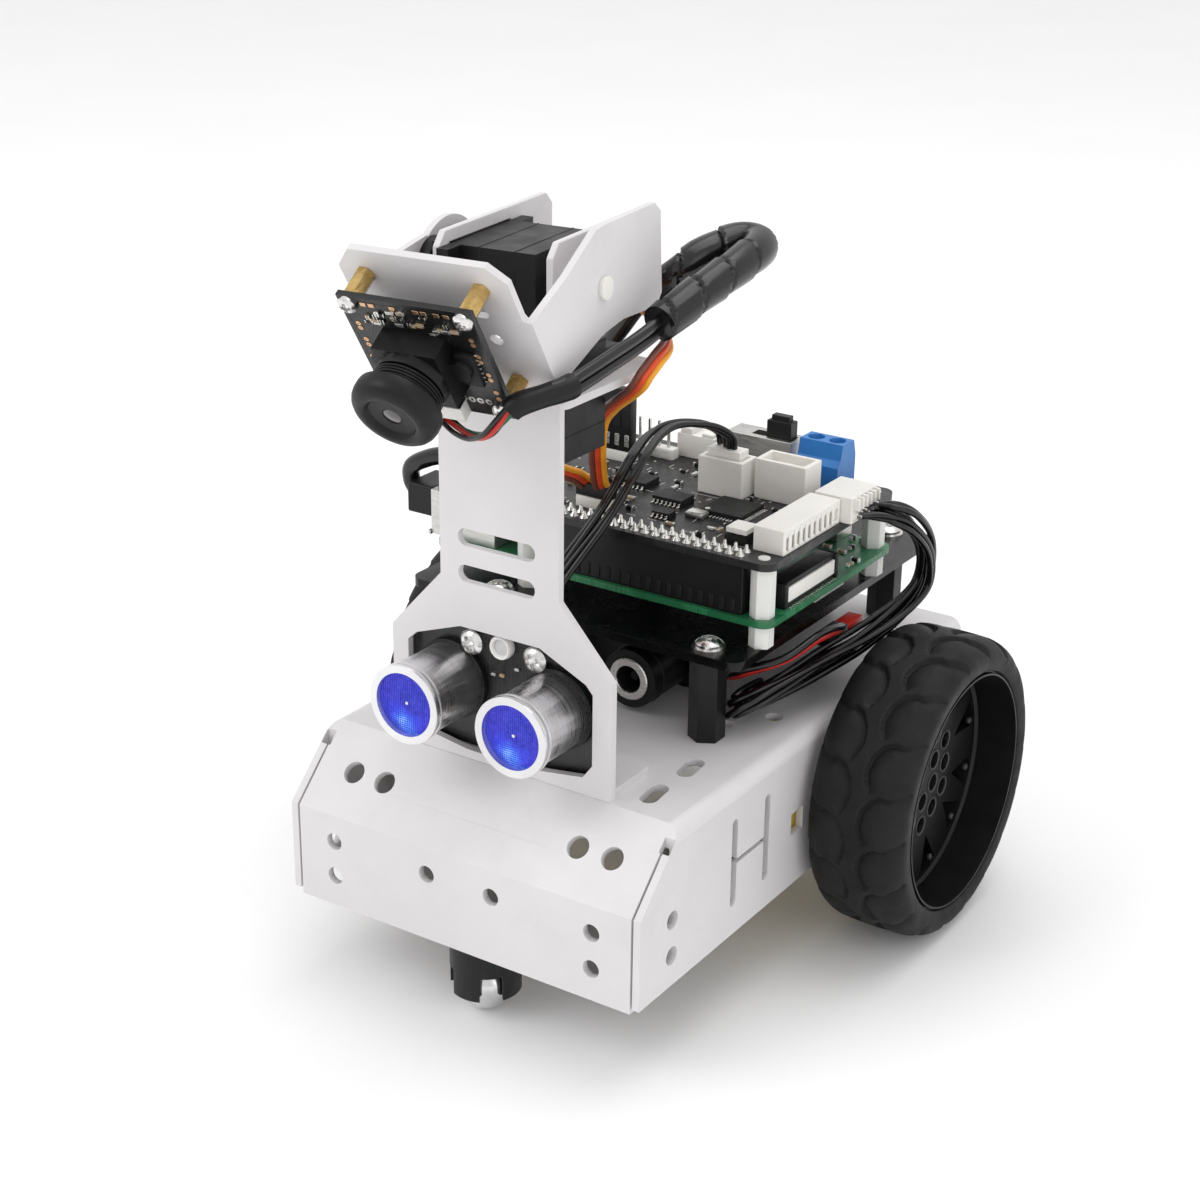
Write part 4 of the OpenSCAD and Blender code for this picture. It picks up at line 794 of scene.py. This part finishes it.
def leads():
    """The servos' ribbons, and the sensor's, the motors' and the battery's wires."""
    tilt_route = [
        (1.6, -49.6, 150), (3.4, -45.8, 148), (5, -43.4, 144.4), (9, -43.2, 141.6), (15.8, -46.4, 139.6),
        (21.2, -52.8, 138.4),
        (22.6, -58.6, 137), (21.2, -60.2, 134.2), (18.4, -58.6, 130.8), (12.6, -53, 126.6), (4, -46, 120.6),
        (-1.9, -41, 114.8), (-5.4, -36.4, 106.7), (-7.4, -32.4, 99), (-8, -30, 96.4),
    ]
    turn_route = [
        (-2, -49.2, 117.4), (-8, -47.8, 111), (-12, -44.4, 105.4), (-13, -39, 102), (-12.4, -33.6, 99.4), (-12, -30, 96.6),
    ]
    wires = ["lead_brown", "lead_scarlet", "lead_amber"]
    ribbon("tilt_servo_ribbon", tilt_route, wires[::-1], "head_turn",
           ("head_turn", "chassis", at(20, -53.6, 138.8), at(-1.9, -41, 114.8)), ["servo_leads"])
    ribbon("turn_servo_ribbon", turn_route, wires, "chassis")

    route = [
        (8, -5.5, 102.3), (7.6, -6.4, 105.4), (5, -10, 108), (1.6, -16, 109), (0.8, -23, 108.4),
        (1.4, -32, 105), (0, -41, 97),
        (-5, -48, 86), (-7, -55, 78), (-6, -63, 74.6), (-2, -68.6, 73.6),
    ]
    s = Shape()
    offsets = [(-2.3, 0), (-0.85, 0.25), (0.85, -0.2), (2.3, 0.1)]
    for path in strand_lines(smooth_line(route, 8), offsets, 0.35, 3):
        s.sweep(path, 0.68, 0, 12)
    s.done("sensor_wires", "chassis", ["lead_black"], ["sensor_lead"], 60)

    route = [
        (41.2, -2.4, 94.8), (45, -1.6, 94.4), (47.8, 4, 91), (48.4, 11, 83.6), (47, 14, 74), (44.5, 8, 68),
        (41.5, -4, 64.6),
        (39, -16, 63.4), (37, -27, 62.4), (34, -35, 60.6), (31, -37, 58.6), (29.6, -32, 57.4), (30, -24, 57.2),
    ]
    line = smooth_line(route, 8)
    turns = [math.tau * k / 6 for k in range(6)]
    offsets = [(1.9 * math.cos(t), 1.9 * math.sin(t)) for t in turns] + [(0.3, 0.2), (2.9, 1.2)]
    fan = 14  # points over which the wires fan out to their pins
    s = Shape()
    for k, path in enumerate(strand_lines(line, offsets, 0.5, 11)):
        start = Vector((40.4, -7 + 1.45 * k, 93.6))
        for i in range(fan):
            w = (i / fan) ** 0.8
            path[i] = start.lerp(path[fan], w) * (1 - w) + path[i] * w if i else start
        s.sweep(path, 0.72, 0, 12)
    s.done("motor_wires", "chassis", ["lead_black"], ["motor_lead"], 60)

    route = [
        (13, -26, 62), (18, -30, 62), (25, -34, 63), (31, -34, 65.6), (37.4, -30, 68.4), (40, -20, 70.6), (38.8, -8, 68),
    ]
    s = Shape()
    for k, path in enumerate(strand_lines(smooth_line(route, 8), [(-0.8, 0.3), (0.8, -0.3)], 0.2, 5)):
        s.sweep(path, 0.8, k, 12)
    s.done("battery_wires", "chassis", ["lead_red", "lead_black"], ["power_lead"], 60)


def camera_cable():
    """The camera's lead: loose wires, a sleeve, a pair, then a spiral wrap round the U-turn and a plain lead."""
    near = [
        (-1, -93.6, 130), (2, -93.4, 128.4), (6.5, -94.6, 128.2), (11, -96.6, 130), (14.6, -97.4, 133.4),
        (17, -96.5, 136.4),
        (19.4, -91.8, 137.4), (21.6, -86.8, 138.2), (22, -80, 139.2), (22, -73, 140.2), (22, -66.6, 141.1),
        (22.2, -60.6, 142.4), (22.6, -56.4, 143.9),
    ]
    line = smooth_line(near, 6)
    frames = carried_frames(line)
    s = Shape()
    sleeve = line[28:44]

    def sleeve_radius(i, _):
        along = i / (len(sleeve) - 1)
        return 2.2 + 0.07 * math.sin(along * 9) + (0.12 if along > 0.93 else 0)

    s.sweep(sleeve, sleeve_radius, 0, 24)
    for a, b, r in ((-1.15, 0.3, 1.18), (1.15, -0.3, 1.12)):
        path = [line[i] + frames[i][1] * a + frames[i][2] * b for i in range(38, len(line))]
        s.sweep(path, r, 1, 16)
    for k, colour in enumerate((1, 3, 4, 1)):
        path = []
        for i in range(32):
            fan = 1.0 - 0.55 * i / 31
            _, side, up = frames[i]
            path.append(line[i] + side * (k - 1.5) * 1.1 * fan + up * 0.4 * math.sin(k * 2 + i * 0.2))
        s.sweep(path, 0.5, colour, 10)
    s.done("camera_cable_front", "head_tilt",
           ["sleeve_black", "lead_black", "lead_white", "lead_green", "lead_red"], (), 60,
           ("head_tilt", "head_turn", at(17, -96.5, 136.4), at(22, -64, 141.6)))

    far = [
        (22.6, -58, 143.6), (23.2, -53, 145.2), (23.8, -45.6, 147.2), (24.2, -38, 148.8), (24.2, -31, 150.1),
        (23.6, -24.6, 150.9),
        (21.8, -19.6, 151.3), (19, -17.8, 151.4), (16.4, -19.2, 151.2), (14.6, -23.6, 150.4),
        (13.2, -28, 149.2), (11, -32, 146.8),
        (6.6, -33, 143.2), (1.6, -32.6, 138.6), (-4, -31.4, 131.8), (-11, -29.6, 124), (-22, -29, 114), (-34, -30, 104),
        (-46, -31, 97.6), (-54, -31, 94.6), (-59, -30.6, 91.6), (-59.8, -30, 88.2), (-58.6, -30, 86.4),
        (-57.04, -30, 86.2),
    ]
    steps = 12
    line = smooth_line(far, steps)
    wrap = line[:12 * steps + 8]
    sides = 40
    reach = [0.0]
    for a, b in zip(wrap, wrap[1:]):
        reach.append(reach[-1] + (b - a).length)

    def wrap_radius(i, k):
        """Each turn of the spiral, 9.5 mm long, swells and steps down again; the wrap thins at its end."""
        left = min((len(wrap) - 1 - i) / (2.5 * steps), 1)
        wound = (reach[i] / 9.5 + k / sides) % 1
        step = 0.45 * wound - (0.5 if wound < 0.08 else 0)
        return 2.5 + 0.95 * left + step

    s = Shape()
    s.sweep(wrap, wrap_radius, 0, sides)
    s.sweep(line[len(wrap) - 6:], 2.0, 1, 16)
    s.done("camera_cable_back", "chassis", ["wrap_spiral", "lead_black"], ["camera_lead"], 50,
           ("head_turn", "chassis", at(22.6, -58, 143.6), at(-22, -29, 114)))


def lens():
    """A bell-shaped lens cap ring with a flat recessed front and a small dark glass."""
    s = Shape(EYE)
    centre = (0, 0, 0)
    body = [(0, 1.4), (5.15, 1.4), (5.15, 7.2), (6.5, 7.25), (6.9, 7.6)]
    for k in range(4):
        low = 7.6 + 0.62 * k
        body += [(6.9, low), (6.9, low + 0.36), (6.62, low + 0.44), (6.62, low + 0.56)]
    body += [(7.0, 10.1), (7.9, 10.25), (8.3, 10.7), (8.4, 11.3), (8.4, 12.4)]
    body += [(8.25, 13.2), (7.9, 13.9), (7.3, 14.5), (6.6, 14.85)]
    body += [(5.9, 15.0), (5.3, 14.95), (4.9, 14.7), (4.7, 14.3), (4.55, 14.15), (1.9, 14.0), (1.75, 13.8), (0, 13.8)]
    s.lathe(body, centre, (0, -1, 0), 0, 96)
    s.lathe([(0, 14.1), (0.9, 14.05), (1.7, 13.85), (1.72, 13.5), (0, 13.5)], centre, (0, -1, 0), 1, 48)
    s.done("lens_body", "lens", ["lens_black", "lens_glass"], ["lens_barrel"], 32)


def camera_details():
    """Pads, small parts and the wire socket on the camera board."""
    s = Shape(EYE)
    rough = random.Random(21)
    for side in (-1, 1):
        for z in (-8.6, -6.9, -3.4, -2.1, 1.2, 2.6, 5.6, 6.8):
            x = side * (12.1 - 0.5 * (z > 0))
            pad = [(0, 0), (0.52, 0), (0.52, 0.09), (0.2, 0.1), (0.2, 0.02), (0, 0.02)]
            s.lathe(pad, (x, 0, z), (0, -1, 0), 0, 16)
    for x in (-8.6, -6.9, -2.6, 2.2, 3.8, 6.4, 8.4):
        s.box(x - 0.6, x + 0.6, -0.1, 0, 11.7, 12.6, 0, 0.05, 1)
    for k in range(5):
        ring = [(0.32, 0), (0.72, 0), (0.72, 0.12), (0.32, 0.12)]
        s.lathe(ring, (2.6 + 1.75 * k, 0, -9.9), (0, -1, 0), 1, 20)
    for k in range(26):
        x, z = rough.uniform(-9.5, 9.5), rough.uniform(7.4, 11)
        wide, tall = rough.choice([(1.1, 0.6), (0.6, 1.1), (1.5, 0.8)])
        s.box(x, x + wide, -0.45, 0, z, z + tall, rough.choice([2, 3, 3, 4]), 0.05, 1)
        s.box(x - 0.12, x + 0.1, -0.48, 0, z, z + tall, 1, 0.03, 1)
        s.box(x + wide - 0.1, x + wide + 0.12, -0.48, 0, z, z + tall, 1, 0.03, 1)
    s.box(7.1, 11, -1.1, 0, -4.6, 3.4, 3, 0.15)
    for k in range(7):
        s.box(6.8, 11.3, -0.3, 0, -4.2 + 1.15 * k, -3.75 + 1.15 * k, 1, 0.03, 1)
    for k in range(9):
        wide = rough.uniform(0.7, 2.4)
        s.box(-10 + k * 0.4, -10 + k * 0.4 + wide, -0.04, 0, -6 + k * 0.9, -5.8 + k * 0.9, 5)
        s.box(3.2, 3.2 + wide * 1.6, -0.04, 0, 4.2 + 0.34 * k, 4.3 + 0.34 * k, 5)
    s.box(-4.7, 4.7, -2.6, 0, -13.75, -10.3, 6, 0.25)
    s.box(-3.9, 3.9, -2.2, -0.5, -13.9, -12, 2, 0.1)
    s.done("camera_board_parts", "head_tilt",
           ["copper_pad", "pin_metal", "tan_part", "chip_black", "shell_metal", "print_white", "white_plastic"])


lens()
camera_details()


# ---------------------------------------------------------------- controller and computer boards
def small_part(s, spot, rough, kinds):
    """A chip resistor or capacitor lying on a board, with metal ends."""
    x, y = spot
    long_way = rough.random() < 0.5
    w, d = (1.7, 0.85) if long_way else (0.85, 1.7)
    h = rough.uniform(0.4, 0.9)
    s.box(x, x + w, y, y + d, 0, h, rough.choice(kinds), 0.06, 1)
    for end in (0, 1):
        if long_way:
            s.box(x + end * w - 0.2, x + end * w + 0.2, y - 0.03, y + d + 0.03, 0, h + 0.03, 1, 0.04, 1)
        else:
            s.box(x - 0.03, x + w + 0.03, y + end * d - 0.2, y + end * d + 0.2, 0, h + 0.03, 1, 0.04, 1)


def scatter(s, rough, tries, across, along, taken, kinds):
    """Small parts thrown at random on a board, off the boxes (x0, x1, y0, y1) that are taken."""
    for _ in range(tries):
        x, y = rough.uniform(*across), rough.uniform(*along)
        if all(not (a - 1.9 < x < b and c - 1.9 < y < d) for a, b, c, d in taken):
            small_part(s, (x, y), rough, kinds)
            taken.append((x - 0.4, x + 2.1, y - 0.4, y + 2.1))


def controller_details():
    """Pins, headers, sockets and plugs on the controller board, then its chips' legs and small parts."""
    s = Shape(HAT)
    for k in range(20):
        for row in (0, 1):
            spot = (5.6 - 24.13 + 2.54 * k, -36.7 + 2.54 * row, 0)
            joint = [(0, 0), (0.98, 0), (0.85, 0.25), (0.42, 0.7), (0.34, 1.35), (0.2, 1.5), (0, 1.5)]
            s.lathe(joint, spot, (0, 0, 1), 0, 16)
    s.box(-28.6, -12.6, 5.4, 8.2, 0, 2.5, 1, 0.25)
    for k in range(6):
        x = -27.3 + 2.54 * k
        s.box(x - 0.32, x + 0.32, 6.5, 7.14, 2.4, 8.5, 0, 0.12, 1)
        s.box(x - 1.02, x + 1.02, 5.25, 5.5, 0.5, 2.2, 1, 0.08, 1)
    s.box(-27.8, -19.2, -1.9, 1.3, 0, 2.4, 1, 0.2)
    s.box(-27.4, -19.6, -1.6, 1, 2.4, 17, 2, 0.25)
    for k in range(3):
        x = -26.9 + 2.6 * k
        s.box(x, x + 2.2, -1.75, -1.4, 8, 12.5, 2, 0.1, 1)
        s.box(x + 0.5, x + 1.7, -1.66, -1.3, 3.6, 6.4, 0, 0.05, 1)
    s.box(-14, -4, 9.4, 15, 0, 5.6, 1, 0.35)
    s.box(-13.2, -10.2, 9.6, 14.6, 5.4, 7, 1, 0.3)
    s.box(-7.6, -4.6, 9.6, 14.6, 5.4, 6.4, 1, 0.3)
    s.box(-14, -5.6, -31.6, -28.4, 0, 2.5, 1, 0.2)
    s.box(-14.2, -5.4, -31.3, -28.7, 2.5, 5.4, 2, 0.25)
    s.done("controller_pins", "chassis", ["pin_metal", "white_plastic", "black_plastic"],
           ["controller_headers"])

    s = Shape(HAT)
    for k in range(12):
        step = 10.9 + 0.82 * k
        s.box(step - 0.16, step + 0.16, -21.7, -9.5, 0, 0.3, 0, 0.05, 1)
        s.box(9.3, 21.5, step - 31.2 - 0.16, step - 31.2 + 0.16, 0, 0.3, 0, 0.05, 1)
    for x0, x1, y0, y1, count in ((-2, 5.4, -20, -14.6, 7), (-14, -7, -15, -9, 6), (2.6, 7, -27.6, -24.6, 4)):
        for k in range(count):
            x = x0 + (k + 0.5) * (x1 - x0) / count
            s.box(x - 0.22, x + 0.22, y0 - 1.1, y1 + 1.1, 0, 0.35, 0, 0.06, 1)
            s.box(x - 0.22, x + 0.22, y0 - 0.4, y1 + 0.4, 0.3, 0.8, 0, 0.06, 1)
    s.lathe([(0, 1.21), (0.6, 1.21), (0.6, 1.19), (0, 1.19)], (11.6, -19.4, 0), (0, 0, 1), 3, 20)
    for x, y in ((8.6, -24), (-16.6, -25.4)):
        s.box(x, x + 4.4, y, y + 3.2, 0, 1.1, 4, 0.35)
        s.box(x + 0.3, x + 4.1, y + 0.3, y + 2.9, 1.0, 1.3, 0, 0.2)
    taken = [
        (8.8, 22, -22.2, -9), (-3, 6.4, -21.6, -13.2), (-15, -6, -16.6, -7.6), (1.8, 7.8, -29, -23.2),
        (8, 13.6, -24.8, -20), (22.4, 29.2, -32.8, -26), (-29, -11.6, -3, 9), (2, 14.2, -9.4, -1.8),
        (14, 27.6, -5.8, 3), (-17.4, -11.4, -26, -21.4), (-15, -4.6, -32.6, -27.4), (-15, -3, 8.6, 16),
        (-2, 29, 7, 16.8), (29.6, 42, -34, 5), (30.8, 38, -39, -31.6),
    ]
    rough = random.Random(4)
    scatter(s, rough, 230, (-40, 27), (-32.4, 13), taken, [2, 2, 2, 3, 5])
    for k in range(120):
        x, y = rough.uniform(-40, 27), rough.uniform(-33, 14)
        wide, deep = rough.choice([(2.2, 0.16), (1.0, 0.16), (0.16, 1.4), (0.16, 2.0), (0.5, 0.5)])
        s.box(x, x + wide, y, y + deep, 0, 0.03, 3)
    for y in (-10.2, -1.2):
        s.box(2, 13, y, y + 0.15, 0, 0.03, 3)
    s.done("controller_parts", "chassis",
           ["pin_metal", "pin_metal", "chip_black", "print_white", "shell_metal", "tan_part"])


def computer_details():
    """The flat-cable socket, the solder tails along the edge, sockets' tongues and small parts."""
    s = Shape(BOARD)
    s.box(32.2, 36.7, -30, -7.2, 0, 1.3, 0, 0.15)
    s.box(32.2, 36.5, -30, -7.2, 4.2, 5.5, 0, 0.2)
    for y in (-30.1, -8.4):
        s.box(32.2, 37.0, y, y + 1.3, 0, 5.5, 0, 0.2)
    s.box(34, 36.9, -28.6, -8.6, 1.1, 4.3, 1, 0.2)
    for k in range(22):
        y = -28.7 + 0.93 * k
        s.box(36.6, 37.7, y - 0.14, y + 0.14, 0, 0.3, 2, 0.04, 1)
    for y in (-36.4, -18.4):
        for z in (1, 5.8):
            s.box(-48.8, -40, y + 2.2, y + 11, z + 1.5, z + 2.7, 1, 0.15)
        s.box(-49.95, -49.3, y - 0.5, y + 13.7, -0.1, 0.9, 3, 0.1)
    for k in range(8):
        s.box(-46, -40, 3.6 + 1.0 * k, 3.9 + 1.0 * k, 1.5, 3.2, 2, 0.05, 1)
    for k in range(20):
        x = -19.2 + 2.54 * k
        s.box(x - 0.5, x + 0.5, -38.15, -37.8, 0.6, 3.4, 4, 0.1, 1)
    rough = random.Random(15)
    taken = [
        (31, 38, -31, -6), (7.6, 23.6, -17, -1), (-9, 5, -19, -5), (-10, 28, 9.6, 18), (-50, -28, -37, 16),
        (-21, 32, -39, -32),
    ]
    scatter(s, rough, 170, (-27, 36), (-31, 15), taken, [4, 5, 4])
    s.done("computer_small_parts", "chassis",
           ["black_plastic", "white_plastic", "pin_metal", "shell_metal", "chip_black", "tan_part"])


def servo_details():
    """Seams and caps on the two servo cases, and the plugs under the boards."""
    s = Shape()
    for z in (119.6, 136.2):
        s.box(-6.12, 6.12, -73.62, -50.88, z, z + 0.28, 0, 0.1, 1)
    for x in (-4.4, 4.4):
        for y in (-71.8, -52.6):
            s.lathe([(0, 0.12), (0.9, 0.12), (1.0, 0), (0, 0)], (x, y, 114.6), (0, 0, -1), 1, 20)
    s.done("turn_servo_seams", "chassis", ["servo_black", "pin_metal"])
    s = Shape(PAN)
    for x in (-5.6, 2.0):
        s.box(x, x + 0.28, -6.02, 16.72, TILT_Z - 6.12, TILT_Z + 6.12, 0, 0.1, 1)
    s.done("tilt_servo_seams", "head_turn", ["servo_black"])
    s = Shape()
    s.box(35, 38.6, -12, -4, 64.6, 67.6, 0, 0.3)
    s.box(35, 38.6, -4, 3, 64.9, 67.3, 1, 0.3)
    s.done("inline_plug", "chassis", ["black_plastic", "lead_red"])


def socket_details():
    """Fanned blades at the motor socket's end, and the charging socket's ring."""
    s = Shape(HAT)
    for k in range(9):
        s.box(37.2, 37.65, -31.6 + 2.3 * k + 0.9, -31.6 + 2.3 * k + 1.6, 0.5, 4.6, 0, 0.12, 1)
    for k in range(6):
        y = -7.2 + 1.8 * k
        s.box(39.7, 41.4, y - 0.35, y + 0.35, 3.0, 5.6, 0, 0.12, 1)
        s.box(40.8, 41.9, y - 0.2, y + 0.2, 1.4, 2.2, 1, 0.06, 1)
    s.done("motor_socket_ribs", "chassis", ["white_plastic", "pin_metal"])
    s = Shape()
    mouth = (7, -42, 60.5)
    s.lathe([(2.95, 0), (4.6, 0), (4.7, 0.3), (4.5, 0.5), (3.1, 0.5), (2.95, 0.3)], mouth, (0, -1, 0), 0, 48)
    case = [(6.0, 0.02), (6.5, 0.0), (6.5, 3.2), (6.68, 3.3), (6.68, 4.0), (6.5, 4.1), (6.5, 6.0), (6.0, 6.0)]
    s.lathe(case, mouth, (0, 1, 0), 1, 48)
    s.done("charge_ring", "chassis", ["pin_metal", "black_plastic"])


controller_details()
computer_details()
servo_details()
socket_details()


leads()
camera_cable()


# ---------------------------------------------------------------- camera and lights
def studio():
    """White paper under a white sky, three soft lamps, and the camera fitted to the photo."""
    floor = bpy.data.meshes.new("floor")
    half = 3.0
    floor.from_pydata([(-half, -half, 0), (half, -half, 0), (half, half, 0), (-half, half, 0)], [], [(0, 1, 2, 3)])
    p = Paint("floor_paper")
    p.set(Base_Color=p.ramp(p.noise(9, 2), [(0.3, (0.93, 0.93, 0.93)), (0.7, (0.945, 0.945, 0.945))]), Roughness=0.9)
    floor.materials.append(p.mat)
    sheet = link("floor", floor)
    bpy.context.scene.view_settings.view_transform = "Standard"
    world = bpy.data.worlds.new("studio")
    world.use_nodes = True
    world.node_tree.nodes["Background"].inputs[0].default_value = (1, 1, 1, 1)
    world.node_tree.nodes["Background"].inputs[1].default_value = 0.9
    bpy.context.scene.world = world

    def lamp(name, where, size, power):
        data = bpy.data.lights.new(name, "AREA")
        data.shape = "RECTANGLE"
        data.size, data.size_y = size
        data.energy = power
        obj = link(name, data)
        obj.location = where
        obj.rotation_euler = (Vector((0, 0, 0.07)) - Vector(where)).to_track_quat("-Z", "Y").to_euler()

    lamp("key", (-0.55, -0.75, 0.85), (0.6, 0.6), 3.2)
    lamp("fill", (0.95, -0.25, 0.5), (0.5, 0.9), 0.8)
    lamp("top", (0.1, 0.3, 1.1), (0.9, 0.7), 3.2)

    data = bpy.data.cameras.new("camera")
    data.lens = 66.47
    data.sensor_width = 36
    data.clip_start = 0.01
    camera = link("camera", data)
    turn = Matrix.Identity(4)
    for angle, axis in ((33.37, "Z"), (90 - 22.46, "X"), (0.67, "Z")):
        turn = turn @ Matrix.Rotation(math.radians(angle), 4, axis)
    camera.matrix_world = Matrix.Translation((0.23597, -0.36492, 0.25448)) @ turn
    bpy.context.scene.camera = camera


studio()
